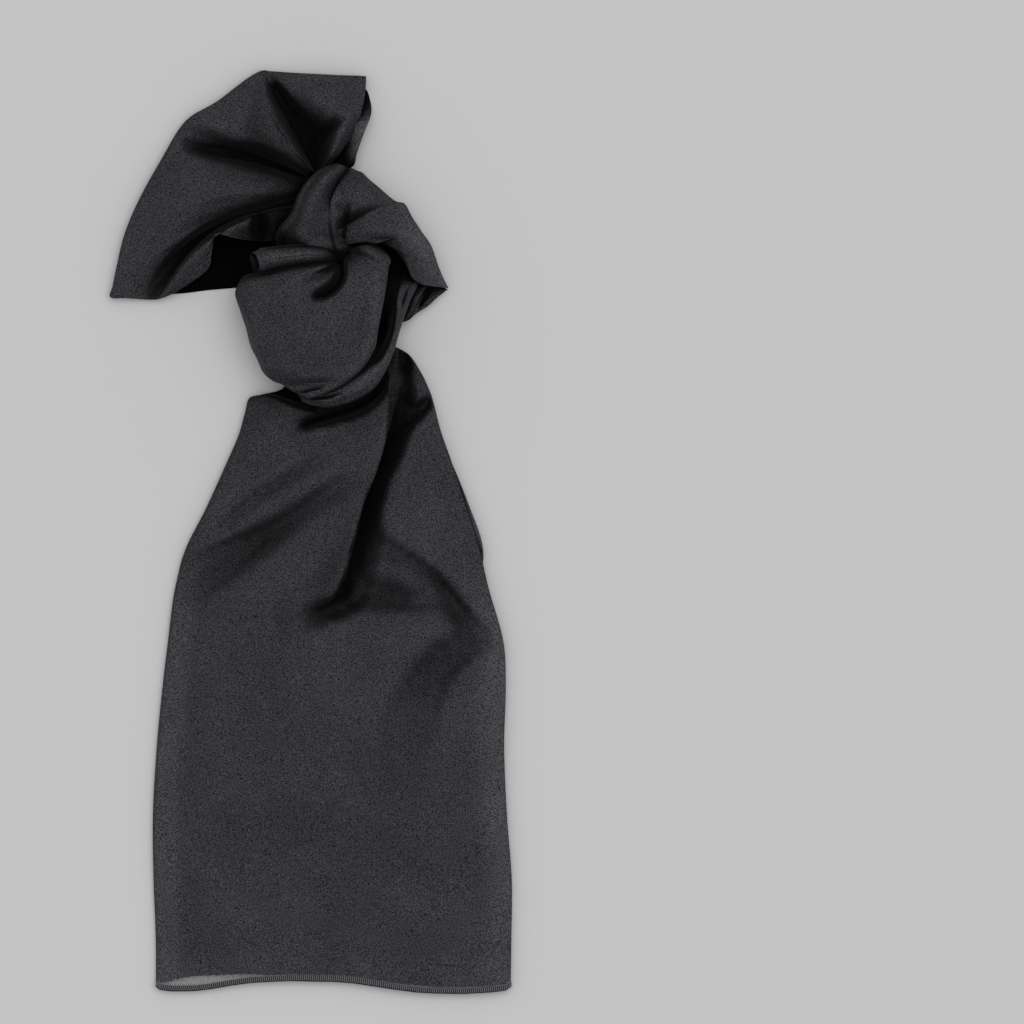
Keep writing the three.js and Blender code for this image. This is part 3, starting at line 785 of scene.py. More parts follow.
@dataclass
class FoldShade:
    """Darkness deep in the folds, where black cloth faces black cloth and no light comes back.

    Attributes:
        reach: How far from a point other cloth still hides the light, in millimetres.
        rays: Directions tried at each point.
        lift: How far off the cloth a direction is tried from, in millimetres.
        from_floor: What an open direction that points down at the pale surface counts for.
        power: How fast the cloth darkens as fewer directions are open.
        darkest: Shade where no direction is open.
        fine_below: Points of a grid below which each of its front's points is tried.
        tree: Search tree of every sheet.
    """

    reach: float = 60.0
    rays: int = 56
    lift: float = 0.5
    from_floor: float = 0.75
    power: float = 5.5
    darkest: float = 0.01
    fine_below: int = 15000
    tree: Optional[BVHTree] = field(default=None, repr=False)

    def directions(self) -> np.ndarray:
        """Evenly spread directions about +Z, denser towards it as light on a matt surface is.

        Returns:
            Unit directions shaped (rays, 3).
        """
        k = np.arange(self.rays) + 0.5
        radius = np.sqrt(k / self.rays)
        turn = k * math.pi * (3 - math.sqrt(5))
        return np.stack([radius * np.cos(turn), radius * np.sin(turn), np.sqrt(1 - radius**2)], 1)

    def gather(self, cloths: Sequence[Cloth]) -> None:
        """Builds the search tree from every sheet's grid.

        Args:
            cloths: The sheets.
        """
        vertices, triangles, start = [], [], 0
        for cloth in cloths:
            for grid in cloth.grids:
                rows, columns = grid.shape[:2]
                i, j = (a.ravel() for a in np.mgrid[0 : rows - 1, 0 : columns - 1])
                a, b = i * columns + j + start, (i + 1) * columns + j + start
                triangles += [np.stack([a, b, b + 1], 1), np.stack([a, b + 1, a + 1], 1)]
                vertices.append(grid.reshape(-1, 3))
                start += rows * columns
        self.tree = BVHTree.FromPolygons(
            np.concatenate(vertices).tolist(), np.concatenate(triangles).tolist()
        )

    def open_directions(self, spots: np.ndarray, normals: np.ndarray) -> np.ndarray:
        """Share of directions that are open at each spot.

        Args:
            spots: Points shaped (count, 3).
            normals: Their unit normals.

        Returns:
            Shares from 0 to 1.
        """
        helper = np.where(np.abs(normals[:, 2:]) < 0.9, [[0.0, 0.0, 1.0]], [[1.0, 0.0, 0.0]])
        side = np.cross(helper, normals)
        side /= np.linalg.norm(side, axis=1, keepdims=True)
        up = np.cross(normals, side)
        out = np.zeros(len(spots))
        cast = self.tree.ray_cast
        for x, y, z in self.directions():
            ways = x * side + y * up + z * normals
            for n, (spot, way) in enumerate(zip(spots.tolist(), ways.tolist())):
                if cast(spot, way, self.reach)[0] is None:
                    out[n] += 1.0 if way[2] > 0 else self.from_floor
        return out / self.rays

    def of_grid(self, grid: np.ndarray) -> tuple[np.ndarray, np.ndarray]:
        """Shades of the front and the back of a grid, from every second point where that is enough.

        Args:
            grid: The grid of points.

        Returns:
            Two arrays of shades, from nearly 0 in a fold to 1 in the open.
        """
        rows, columns = grid.shape[:2]
        front_stride = 1 if rows * columns < self.fine_below else 2
        outwards = Cloth.normals(grid)
        made = []
        for sign, stride in ((1, front_stride), (-1, 2)):
            i = np.unique(np.append(np.arange(0, rows, stride), rows - 1))
            j = np.unique(np.append(np.arange(0, columns, stride), columns - 1))
            normals = outwards[np.ix_(i, j)].reshape(-1, 3)
            spots = grid[np.ix_(i, j)].reshape(-1, 3)
            share = self.open_directions(spots + sign * self.lift * normals, sign * normals)
            share = share.reshape(len(i), len(j))
            full = np.array([np.interp(np.arange(columns), j, row) for row in share])
            full = np.array([np.interp(np.arange(rows), i, column) for column in full.T]).T
            made.append(self.darkest + (1 - self.darkest) * full**self.power)
        return made[0], made[1]


@dataclass
class Tail:
    """The long end: front layer, side folds, back layer, and the inner leaves that show at its mouth.

    Attributes:
        sections: Rows of left x, left y, right x, right y, and heights across the front layer.
        back_low: Level that the left fold comes down to, at each section.
        back_pass: How much further than the front's width the back layer runs, at each section.
        back_columns: Columns of the back layer.
        back_rise: How far the back layer rises close to the right edge.
        rise_width: How close to that edge the rise begins.
        shoulder_rows: Sections at which the right edge rolls down to the shoulder's level.
        shoulder_low: That level.
        edge_columns: Columns of the right edge's stretch underneath.
        crease_line: Rows of y and the main crease's x there.
        crease_margin: How close to the right edge the crease may run.
        crease_span: How far on each side of the crease the columns stand close together.
        hem_drop: Rows of x and how far the front layer's lower edge moves there.
        back_drop: The same for the layers under it.
        folds: Folds of the front layer.
        shades: Paths of light lost on it.
    """

    sections: Rows = (
        (-7, 90, 33, 94, 6, 11, 12, 10, 6.5),
        (-9.5, 82, 41.4, 92.4, 6, 12.5, 13.5, 11, 6.5),
        (-15.2, 71.4, 49, 88.4, 6, 13, 14, 12, 7),
        (-25, 68.3, 55.2, 79.2, 5.5, 12.5, 14, 12, 7),
        (-31.2, 66.5, 59.4, 70.2, 5, 12, 14, 12.4, 7),
        (-33.2, 59.5, 61.4, 64, 5, 12, 14.5, 13, 7),
        (-36.5, 48, 65, 50, 5, 11.5, 15, 14, 6.5),
        (-43, 33, 70.6, 34, 5, 11, 15, 14, 6),
        (-53, 11, 77.4, 12.5, 5, 11, 14.5, 13, 6),
        (-63, -9, 84, -8, 4.6, 10, 13, 12, 6),
        (-68.6, -29, 89, -29, 4.4, 9.4, 12, 11.4, 5.6),
        (-71.4, -52, 96.2, -55, 4.2, 8, 10.4, 10, 5.4),
        (-74.5, -78, 97.4, -78, 4, 6.8, 8.4, 8.2, 5.2),
        (-77.4, -108, 96.6, -108, 3.8, 6, 6.8, 6.6, 5),
        (-79.3, -142, 98, -142, 3.6, 5.2, 5.6, 5.8, 4.8),
        (-79, -174, 100.4, -174, 3.4, 4.8, 5.2, 5.2, 4.6),
        (-77.9, -202, 100.2, -202, 3.2, 4.4, 4.6, 4.8, 4.4),
        (-77.8, -222, 99.9, -220.7, 3, 4, 4.2, 4.4, 4.2),
    )
    back_low: Sequence[float] = (3.2, 3.2, 2.8, 1.6, *[FLOOR] * 14)
    back_pass: Sequence[float] = (-9, -9, -9, -9, -8, -7, -6, -3, -1, -0.6, -6, *[-6] * 7)
    back_columns: int = 28
    back_rise: float = 4.4
    rise_width: float = 9
    shoulder_rows: int = 7
    shoulder_low: float = 3.3
    edge_columns: int = 4
    crease_margin: float = 14
    crease_span: int = 10
    crease_line: Rows = (
        (-240, 6), (-100, 4), (-45, 4), (-30, 11), (-15, 17), (0, 22), (20, 27.5), (45, 35.5),
        (60, 37.6), (80, 39.4), (100, 41),
    )
    hem_drop: Rows = (
        (-77.8, -2.6), (-76.2, -4.3), (-70, -5.2), (-64, -5.2), (-58, -5.1), (-50, -4.2), (-40, -2.5),
        (-30, -1.2), (-20, -0.7), (-10, -0.4), (0, -0.7), (12, -1), (22, -1.9), (32, -3.5), (42, -5.1),
        (52, -6.5), (62, -7.2), (77, -7.5), (90, -6.8), (97.4, -6), (99.9, -4.2),
    )
    back_drop: Rows = (
        (-77.8, -2.8), (-76.2, -4.1), (-72, -3), (-65, -1.3), (-55, -0.5), (-45, -0.1), (-35, 0.2),
        (-28, 0.1), (-20, -0.3), (-12, -1), (0, -1.4), (20, -2.6), (42, -5.7), (50, -5.7), (57, -6.4),
        (62, -7.6), (90, -7.4), (95, -5.5), (99, -4),
    )
    folds: Sequence[Fold] = (
        Fold("flap ridge", (
            (37.5, 86, 0, 3, 16, 0), (36.2, 66, 4, 3, 20, 3), (34, 50, 5, 3, 20, 4),
            (29.4, 33, 5, 3, 20, 4), (23.4, 18, 5, 3, 20, 4.2), (19, 4, 4.2, 3, 17, 4.2),
            (15.8, -9, 2.8, 3, 14, 4), (12.8, -21, 1.6, 3.4, 11, 3.4), (8.4, -31, 0.8, 4, 9, 2.4),
            (-2, -38.4, 0, 4, 8, 0),
        )),
        Fold("flap valley", (
            (44, 93, -2, 6, 3, 0), (45, 85, -5.6, 7, 3.6, 0), (45.4, 77, -3.6, 7, 3.6, 0),
            (45.6, 68, -5.8, 9, 4.4, -1), (44.4, 60, -10, 10, 6, -1.5), (41.8, 51, -10.2, 10, 5.4, -2),
            (37.8, 40, -9.6, 10, 4.2, -2), (32.2, 27, -9.6, 9, 3.6, -2), (27.6, 12, -9.4, 10, 3, -2),
            (24.6, -3, -9.4, 14, 3.2, -2), (21, -16, -9.6, 16, 3.6, -1.5),
            (18.4, -27, -10.4, 15, 6, -1), (14.4, -35, -9.4, 12, 9, 0), (6, -40.4, -6.6, 9, 10, 0),
            (-2, -44.4, -3, 8, 9, 0), (-10, -48, 0, 7, 8, 0),
        )),
        Fold("shoulder valley", (
            (61, 68, 0, 4, 4), (55, 62.2, -7, 5.4, 5), (48.6, 56.2, -8.6, 6, 7), (43, 49, 0, 5, 6),
        )),
        Fold("edge of the knot's shade", (
            (-23, 71.4, 0, 4, 3.6), (-15.6, 70, -10, 6, 4.4), (-8, 66.8, -10, 6, 4.4),
            (2, 63, -6, 5, 4),
        )),
        Fold("shade under the knot", (
            (-6, 51.4, 0, 4, 3), (-1, 54, -6, 5, 3.6), (9, 57.4, -9.6, 6, 4.8), (19, 60.4, -9.5, 6, 5),
            (27, 65.2, -9, 6, 4.6), (32.6, 71.6, -6, 6, 4), (36, 79, -2, 5, 4),
        )),
        Fold("left diagonal", (
            (28, 34, 0, 9, 6), (16, 26, -2.6, 9, 6), (5.4, 18, -3.6, 9, 6.4), (-5, 10.2, -4.4, 10, 7),
            (-15, 3.4, -5.4, 12, 8), (-27.4, -3.2, -6.8, 15, 8), (-37.8, -9.2, -7.8, 16, 9),
            (-47, -16, -8, 16, 11), (-55.2, -24, -6, 13, 12), (-61, -35, -2, 9, 10),
            (-63, -46, 0, 7, 8),
        )),
        Fold("upper diagonal", (
            (11, 39.6, 0, 5, 4), (2.5, 35, -1.4, 5, 4.4), (-5.5, 30, -2, 5.4, 4.4),
            (-15.5, 24.6, -2.2, 5.4, 4.4), (-25.5, 18.6, -2.1, 5.4, 4.4), (-35.5, 10.6, -2, 5.4, 4.4),
            (-42.5, 3, -1.6, 5, 4.4), (-47, -4, 0, 5, 4),
        )),
        Fold("right arc", (
            (30, 1, 0, 5, 9), (37.4, -6, -2.8, 5, 12), (48.6, -13, -3.6, 5, 14),
            (58.2, -20, -4.4, 4.8, 15), (66.4, -27.8, -5.6, 4.8, 14), (72.8, -36, -6.4, 4.8, 12),
            (78, -43.8, -6.4, 4.6, 10), (82.8, -51, -5.6, 4.4, 9), (87.6, -58, -1.4, 4.4, 7),
        )),
        Fold("right hollow", (
            (90, -50, 0, 6, 7), (82.6, -54.6, -6.8, 9, 9), (74, -59.4, -8, 10, 11),
            (65.4, -66, -8, 12, 13), (58, -75, -7.2, 15, 14), (52.6, -86, -6.2, 17, 16),
            (48, -100, -4.8, 18, 18), (46, -116, -2.2, 17, 17), (47, -130, 0, 16, 16),
        )),
        Fold("cross shade", (
            (10, -37, -1, 10, 8), (21, -33.4, -5, 14, 9), (33, -32, -7, 15, 11), (46, -33, -7, 13, 10),
            (58, -36.6, -4, 10, 8), (67, -42, 0, 8, 7),
        )),
        Fold("hollow beside the lower point", (
            (-18, -36, 0, 5, 5), (-14, -43, -1.8, 6, 6), (-11, -50, -1.4, 6, 6), (-6, -57, 0, 6, 6),
        )),
        Fold("faint hollow low down", (
            (-50, -146, 0, 12, 12), (-24, -144.6, -2.4, 14, 14), (2, -146, -3.2, 14, 15),
            (24, -154, -2.9, 14, 15), (44, -167, -2.6, 13, 14), (66, -178, 0, 12, 12),
        )),
        Fold("faint swell above it", (
            (-50, -122, 0, 10, 12), (-22, -120, 1.2, 13, 14), (4, -122, 1.4, 13, 14),
            (28, -130, 1.4, 12, 14), (48, -142, 0, 10, 12),
        )),
        Fold("faint swell below it", (
            (-50, -166, 0, 12, 12), (-20, -168, 1.3, 13, 14), (4, -172, 1.6, 13, 14),
            (30, -182, 1.5, 13, 14), (56, -196, 0, 12, 12),
        )),
    )
    shades: Sequence[Fold] = (
        Fold("left diagonal's end", (
            (-8, 4, 0, 6, 6), (-24, -4, 0.2, 14, 6), (-38, -10.6, 0.3, 16, 7), (-48, -18, 0.28, 14, 8),
            (-56, -27, 0.14, 10, 8), (-60, -38, 0, 6, 6),
        )),
        Fold("left of the flap's tip", (
            (23, 12, 0, 4, 4), (17, -4, 0.2, 8, 8), (11, -18, 0.4, 9, 11), (4, -29, 0.36, 9, 11),
            (-7, -38, 0, 6, 6),
        )),
        Fold("flap's tip", (
            (22, -12, 0, 4, 4), (20, -19, 0.4, 5, 5), (19.4, -26.4, 0.9, 6, 7),
            (16.4, -32.6, 0.92, 6, 7), (8, -36, 0.5, 5, 6), (-1, -38.6, 0.2, 5, 6), (-8, -42, 0, 4, 4),
        )),
        Fold("lit right of the flap's valley", (
            (33, 8, 0, 4, 4), (29.6, -4, -0.8, 5, 5), (28, -14, -1, 5, 5), (27, -22, -0.5, 5, 5),
            (27, -29, 0, 4, 4),
        )),
        Fold("above the flap's valley", (
            (53, 67, 0, 4, 4), (48, 58, 0.36, 6, 6), (42, 50, 0.3, 6, 6), (37, 41, 0, 4, 4),
        )),
        Fold("right arc's end", (
            (58, -19, 0, 5, 5), (66, -28, 0.16, 5, 8), (72, -37, 0.24, 6, 9), (77, -46, 0.26, 6, 9),
            (82, -54, 0.24, 5, 9), (88, -59, 0, 4, 5),
        )),
        Fold("start of the right arc", (
            (34, 2, 0, 4, 4), (38, -8, 0.2, 5, 5), (40, -18, 0.1, 5, 5), (42, -26, 0, 4, 4),
        )),
        Fold("right hollow", (
            (88, -53, 0.1, 5, 6), (80, -57.4, 0.3, 8, 8), (70, -63.6, 0.34, 9, 9),
            (61, -73, 0.34, 11, 11), (54, -86, 0.28, 14, 13), (48, -100, 0.2, 17, 16),
            (46, -118, 0.1, 18, 16), (46, -134, 0, 16, 14),
        )),
        Fold("below the cross shade", (
            (14, -43, 0, 6, 8), (30, -43, 0.16, 7, 9), (44, -43, 0.16, 7, 9), (58, -44, 0, 6, 8),
        )),
        Fold("low down", (
            (-52, -146, 0, 14, 14), (-22, -145, 0.15, 15, 15), (4, -147, 0.2, 16, 16),
            (24, -155, 0.17, 15, 15), (42, -167, 0.15, 14, 14), (62, -177, 0, 12, 12),
        )),
        Fold("middle", (
            (-56, -106, 0, 22, 22), (-12, -112, 0.07, 30, 28), (20, -118, 0.07, 30, 28),
            (66, -124, 0, 22, 22),
        )),
        Fold("left of the middle", ((-42, -44, 0, 7, 7), (-40, -58, 0.1, 8, 8), (-41, -74, 0, 7, 7))),
    )

    def columns(self, v: float) -> np.ndarray:
        """Places across a row, drawn together along the main crease.

        Args:
            v: Place of the row along the sheet.

        Returns:
            The places, from 0 to 1.
        """
        rows = np.array([row[:4] for row in self.sections], float)
        left_x, left_y, right_x, right_y = along(rows, np.array([v]))[0]
        width = right_x - left_x
        line = np.array(self.crease_line, float)
        middle = 0.5
        for _ in range(3):
            y = left_y + (right_y - left_y) * middle
            crease = min(np.interp(y, line[:, 0], line[:, 1]), right_x - self.crease_margin)
            middle = (crease - left_x) / width
        near = middle + np.arange(-self.crease_span, self.crease_span + 1.0) / width
        before = np.linspace(0, near[0], 44)[:-1]
        after = np.linspace(near[-1], 1, 46)[1:]
        return np.concatenate([before, near, after])

    def sheet(self) -> Sheet:
        """The front layer with both side folds and the back layer.

        Returns:
            The sheet, before its back layer is lifted along the right edge.
        """
        reach = [row[2] - row[0] + extra for row, extra in zip(self.sections, self.back_pass)]
        shoulder = [self.shoulder_low] * self.shoulder_rows
        below = [max(row[-1] - 0.9, 3) for row in self.sections[self.shoulder_rows :]]
        v = np.linspace(0, 1, 200)
        return Sheet(
            sections=straight(self.sections),
            rows=np.concatenate([v * (0.8 + 0.2 * v) * 0.97, np.linspace(0.97, 1, 22)[1:]]),
            columns=self.columns,
            folds=self.folds,
            lowest=SECOND_LAYER + 2,
            end_drop=(0.9, self.hem_drop, self.back_drop),
            first=Roll(low=self.back_low, under=reach, steps=self.back_columns),
            last=Roll(low=[*shoulder, *below], under=[5.0, 5.0], steps=self.edge_columns, bulge=0.6),
        )

    def leaf(self, height: float, left: float, right: float, end: float) -> np.ndarray:
        """An inner leaf of the folded band, flat between the front and the back layers.

        Args:
            height: Its level.
            left: How far it ends short of the left fold.
            right: How far it ends short of the right fold.
            end: How far above the back layer's lower edge its own lies.

        Returns:
            Its grid.
        """
        rows = np.array([row[:4] for row in self.sections], float)
        made = []
        for v in np.linspace(0.62, 1.0, 70):
            left_x, left_y, right_x, right_y = along(rows, np.array([v]))[0]
            t = np.linspace(0, 1, 60)
            x = left_x + left + (right_x - right - left_x - left) * t
            y = left_y + (right_y - left_y) * t + end * smooth_step((v - 0.9) / 0.1)
            y += np.interp(x, *np.array(self.back_drop, float).T) * smooth_step((v - 0.9) / 0.1)
            z = height + 0.12 * np.sin(x * 0.11 + y * 0.03) * np.sin(y * 0.07)
            made.append(np.stack([x, y, z], 1))
        return np.array(made)

    def painted_light(self, spots: np.ndarray) -> np.ndarray:
        """Painted light: share of missing layers, where the side folds reach past the inner leaves.

        Args:
            spots: Points shaped (count, 3), in millimetres.

        Returns:
            The shares.
        """
        rows = np.array([row[:4] for row in self.sections], float)
        line = along(rows, np.linspace(0, 1, 80))
        order = np.argsort(line[:, 1])
        left = np.interp(spots[:, 1], line[order, 1], line[order, 0])
        right = np.interp(spots[:, 1], line[order, 1], line[order, 2])
        lower_part = smooth_step((-10 - spots[:, 1]) / 50)
        left_strip = 1 - smooth_step((spots[:, 0] - left - 9) / 6)
        right_strip = 1 - smooth_step((right - spots[:, 0] - 4) / 15)
        right_strip *= 0.4 + 0.6 * smooth_step((spots[:, 1] + 222) / 34)
        by_the_hem = smooth_step((-208 - spots[:, 1]) / 14)
        peeps_out = (spots[:, 0] > right + 0.3) * smooth_step((52 - spots[:, 1]) / 10)
        strips = lower_part * (0.3 * left_strip + 0.46 * right_strip)
        return np.clip(strips + 0.1 * by_the_hem + peeps_out, 0, 1)

    def sheer(self, grid: np.ndarray) -> np.ndarray:
        """Marks the front layer's last stretch where it reaches past the layers under it.

        Args:
            grid: Any grid of the cloth.

        Returns:
            True for each point that is marked.
        """
        under = ROLL_TURNS + self.back_columns
        edge = grid[-1, : under - ROLL_TURNS + 1, :2]
        edge = edge[np.argsort(edge[:, 0])]
        past = grid[..., 1] < np.interp(grid[..., 0], edge[:, 0], edge[:, 1]) + 0.35
        past[:, :under] = False
        past[:, -(ROLL_TURNS + self.edge_columns) :] = False
        return past

    def cloth(self) -> Cloth:
        """The whole long end as cloth.

        Returns:
            The sheet and its two inner leaves.
        """
        sheet = self.sheet().grid()
        rows = np.array([row[:4] for row in self.sections], float)
        right = along(rows, self.sheet().rows)[:, 2, None]
        is_back = np.arange(sheet.shape[1]) < ROLL_TURNS + self.back_columns
        near_edge = smooth_step((sheet[..., 0] - right + self.rise_width) / self.rise_width)
        sheet[..., 2] += self.back_rise * is_back * near_edge
        leaves = [
            self.leaf(height=1.5, left=13, right=9, end=0.4),
            self.leaf(height=SECOND_LAYER, left=14, right=8.5, end=0.7),
        ]
        return Cloth(
            name="tail",
            grids=[sheet, *leaves],
            flat=(0.70, 0.30),
            held="folded",
            rests_on=["floor"],
            stands_for=["tail"],
            painted_light=self.painted_light,
            sheer=self.sheer,
            lost=partial(light_lost, self.shades),
        )


@dataclass
class Knot:
    """The knot: its front turn, the crescent of the second turn, the rolled lip and the buried turns.

    Sections are rows of left x, left y, right x, right y, and heights across.

    Attributes:
        wrap_top: The front turn's first sections, as rows of points.
        wrap_sections: Its other sections.
        wrap_folds: Its folds.
        under_sections: Sections of the crescent.
        under_folds: Its folds.
        wrap_shades: Paths of light lost on the front turn.
        under_shades: The same on the crescent.
        lip_shades: The same on the lip.
        lip_slant: How far the lip's left end is cut back for each millimetre above lip_level.
        lip_level: The level at which it isn't cut back.
        lip_folds: Folds of the lip.
        lip_sections: Its sections.
        core_rings: Rings of the buried turns: rows of y, left, right, low, high, and depth of wrinkles.
        core_wrinkles: Wrinkles round a ring.
        core_twist: Radians by which they turn in each millimetre.
    """

    wrap_top: Sequence[Rows] = (
        (
            (-37.5, 126.6, 12), (-20, 131.5, 17), (-6, 135, 18), (6, 136, 17), (13, 137, 13),
            (20, 141, 19), (28, 142.8, 19), (34.4, 141.8, 19),
        ),
        (
            (-39.8, 123.9, 20), (-20, 128.6, 28.5), (-6, 131.2, 30.5), (7, 132.2, 29.5),
            (13.6, 133.4, 18), (19, 136.8, 23), (28, 140.4, 25.6), (39, 136.6, 25.2),
        ),
    )
    wrap_sections: Rows = (
        (-37.8, 119, 39, 130.4, 23, 32, 34.6, 31.6, 30),
        (-35.5, 111, 37.8, 121, 24, 33, 37, 34, 31),
        (-32.5, 102, 35.8, 110, 24, 33.8, 38.8, 36.8, 31),
        (-30.2, 93, 34, 101, 24, 33, 37.6, 35.8, 30),
        (-26.8, 86, 32.4, 91.5, 22, 31, 35, 34, 29),
        (-23.8, 79.5, 26.8, 82, 20, 29, 31, 31, 28),
        (-19, 75.4, 20.5, 76, 19, 26, 28.5, 28.5, 27),
        (-14.4, 73.6, 13, 71.2, 20.6, 23.4, 25, 25.6, 25.6),
        (-8.8, 70, 4.5, 67.8, 20.8, 22, 23, 23.8, 24),
        (-3.4, 67.4, -0.5, 66.6, 21, 21.4, 21.8, 22.4, 22.8),
    )
    wrap_folds: Sequence[Fold] = (
        Fold("dimple", (
            (14, 138.6, -5, 3, 3), (16, 133.4, -11, 2.2, 4.6), (16.6, 128.6, -13, 2.2, 6),
            (15.4, 123.8, -13, 2.2, 7), (12, 119.6, -11, 2.2, 7), (6.6, 116.8, -8, 2.4, 6.4),
            (0, 116.4, 0, 3, 5),
        )),
        Fold("right shoulder", ((18, 141, 3, 5, 3), (27, 141, 4, 5, 5), (37, 136, 2, 5, 5))),
        Fold("top dent", ((22, 143, -1.6, 3, 3), (23, 139, -1, 3, 3), (25, 135, 0, 3, 3))),
        Fold("arc above the lower edge", (
            (-13, 73.4, 0, 1.4, 1.4), (-8, 74, -1.1, 1.6, 1.4), (0, 75, -1.4, 1.8, 1.4),
            (8, 75, -1.2, 1.6, 1.4), (15, 73.6, 0, 1.6, 1.4),
        )),
        Fold("pleat at the bottom", (
            (-9, 68.6, 0, 1.2, 1.2), (-4, 69.6, -1.2, 1.2, 1.2), (3, 71.4, -1.2, 1.2, 1.2),
            (9, 73, 0, 1.2, 1.2),
        )),
        Fold("left edge lies up", ((-37, 124, 1, 2, 3), (-34, 112, 1.6, 3, 3), (-30, 96, 1, 3, 3))),
    )
    under_sections: Rows = (
        (31, 142, 45, 139, 3, 3, 5, 6, 6),
        (31, 131, 53.5, 126, 3, 5, 9, 14, 14, 11),
        (29, 121, 49.6, 115, 3, 6, 14, 21, 20, 16),
        (28, 111, 46.8, 107, 3, 4, 7, 10, 20.6, 18),
        (27, 101, 44, 98.4, 3, 4, 6, 7, 20.6, 20),
        (23, 91, 41.6, 89.6, 9, 9, 11, 16, 23.6, 22),
        (19, 84, 37.8, 80.4, 16, 18, 22.6, 25.6, 25, 21.6),
        (13, 78.5, 31.8, 71.4, 19.6, 22.4, 24.6, 25.2, 24.4, 21),
        (5, 74.5, 21.4, 65, 18, 21, 23.6, 23.2, 20.2),
        (-3, 72.5, 10, 62, 18, 20, 21.2, 20.8, 19),
        (-6.5, 71, 2.5, 62.6, 17.6, 18, 18.4, 18.2, 17.8),
        (-7, 69.5, -4, 64.8, 16.9, 16.9, 16.9, 16.9, 16.9),
    )
    under_folds: Sequence[Fold] = (
        Fold("fine ridge", (
            (47, 128, 0, 1.5, 1.5), (44.6, 120, 1.4, 1.6, 1.6), (42.4, 110, 1.4, 1.6, 1.6),
            (41, 101, 0, 1.5, 1.5),
        )),
        Fold("pleat beside it", (
            (49, 124, 0, 1.3, 1.3), (46.6, 117, -2, 1.4, 1.4), (44.8, 109, -2, 1.4, 1.4),
            (43.4, 101, 0, 1.3, 1.3),
        )),
        Fold("pleat at the bottom", (
            (-2, 66.4, 0, 1.2, 1.4), (4, 66.8, -1.6, 1.2, 1.6), (10, 67.6, -1.8, 1.2, 1.6),
            (17, 70.4, 0, 1.2, 1.4),
        )),
    )
    wrap_shades: Sequence[Fold] = (
        Fold("lit right side", (
            (33, 134, 0, 5, 5), (34, 122, -0.3, 5, 6), (33, 108, -0.3, 5, 6), (30, 94, -0.2, 5, 6),
            (21, 81, -0.2, 5, 6), (10, 74, -0.24, 4, 5), (-2, 72, 0, 4, 4),
        )),
        Fold("left of the dimple", ((12.6, 133, 0, 3, 3), (8, 130, -0.9, 5, 6), (1, 130, 0, 4, 4))),
        Fold("middle", ((4, 124, 0, 8, 8), (3, 112, 0.08, 12, 12), (6, 98, 0, 12, 12))),
    )
    under_shades: Sequence[Fold] = (
        Fold("lit crescent", (
            (41.6, 126, 0, 4, 4), (40.6, 116, -0.5, 4, 3), (41.6, 108, 0, 4, 4), (41, 97, 0, 4, 4),
            (37, 88, -0.4, 5, 6), (30, 78, -0.36, 6, 6), (19, 71, -0.3, 5, 5), (8, 67.4, -0.3, 4, 4),
            (0, 66, 0, 4, 4),
        )),
    )
    lip_shades: Sequence[Fold] = (
        Fold("top line", (
            (-25, 142, 0, 3, 3), (-18, 141.6, 0.75, 3, 3), (-6, 141.8, 0.85, 3, 3),
            (4, 141.2, 0.7, 3, 3), (10, 139, 0, 2, 2),
        )),
        Fold("lit middle", (
            (-24, 136, 0, 3, 3), (-16, 136, -0.3, 3.4, 3.4), (-4, 137.4, -0.3, 3.4, 3.4),
            (5, 138.4, 0, 2, 2),
        )),
    )
    lip_slant: float = 0.5
    lip_level: float = 24
    lip_folds: Sequence[Fold] = (
        Fold("crease along it", (
            (-24, 134, 0, 1.4, 1.4), (-12, 135.8, -0.5, 1.6, 1.6), (0, 137.2, -0.5, 1.6, 1.6),
            (8, 136.8, 0, 1.4, 1.4),
        )),
    )
    lip_sections: Rows = (
        (-30.6, 138.8, -28.2, 129.8, 29, 32, 29),
        (-25, 141, -22.5, 130, 29.4, 33.4, 30.4),
        (-15, 141.8, -13.5, 131.8, 29.4, 33.6, 31),
        (-5, 142.2, -4, 133.2, 29.4, 33.2, 31),
        (4.4, 142, 4.6, 134.2, 29.4, 32, 30.4),
        (9.4, 139.8, 9.6, 135.2, 26, 28, 27),
        (13, 138.2, 13.2, 136.4, 20, 20.6, 20.2),
    )
    core_rings: Rows = (
        (94.6, -9, 10, 15.4, 25, 0),
        (97, -20, 19, 9, 30, 0.4),
        (104, -25, 22.5, 1.6, 32.4, 0.8),
        (112, -27, 24, 1.6, 31, 0.8),
        (119, -28, 24, 2.9, 25, 0.8),
        (125, -26, 20, 4, 20, 0.8),
        (130, -22, 15, 5, 14.5, 0.5),
        (133, -16, 10, 6.4, 11.5, 0),
    )
    core_wrinkles: int = 10
    core_twist: float = 0.12

    def wrap(self) -> Cloth:
        """The big turn of the band over the front of the knot.

        Returns:
            One sheet, rolled under at both sides.
        """
        sheet = Sheet(
            sections=[*points(self.wrap_top), *straight(self.wrap_sections)],
            rows=np.linspace(0, 1, 110),
            columns=np.linspace(0, 1, 100),
            folds=self.wrap_folds,
            lowest=12,
            first=Roll(
                low=[2.8, 2.8, 2, *[FLOOR] * 5, 9, 18.4, 18.5, 18.8],
                under=[6, 14, 20, 24, 24, 20, 8, 2, 0.6, 0.4, 0.3, 0.2],
                steps=8,
                bulge=5,
            ),
            last=Roll(
                low=[19, 22, 24, 24, 24, 23.4, 22.8, 22.4, 22.2, 22, 21.8, 21.4],
                under=[3, 5, 6, 6, 6, 6, 5, 4, 3, 2, 1, 0.3],
            ),
        )
        return Cloth(
            name="knot_wrap",
            grids=[sheet.grid()],
            flat=(0.095, 0.10),
            held="folded",
            rests_on=["floor"],
            stands_for=["knot_wrap"],
            lost=partial(light_lost, self.wrap_shades),
        )

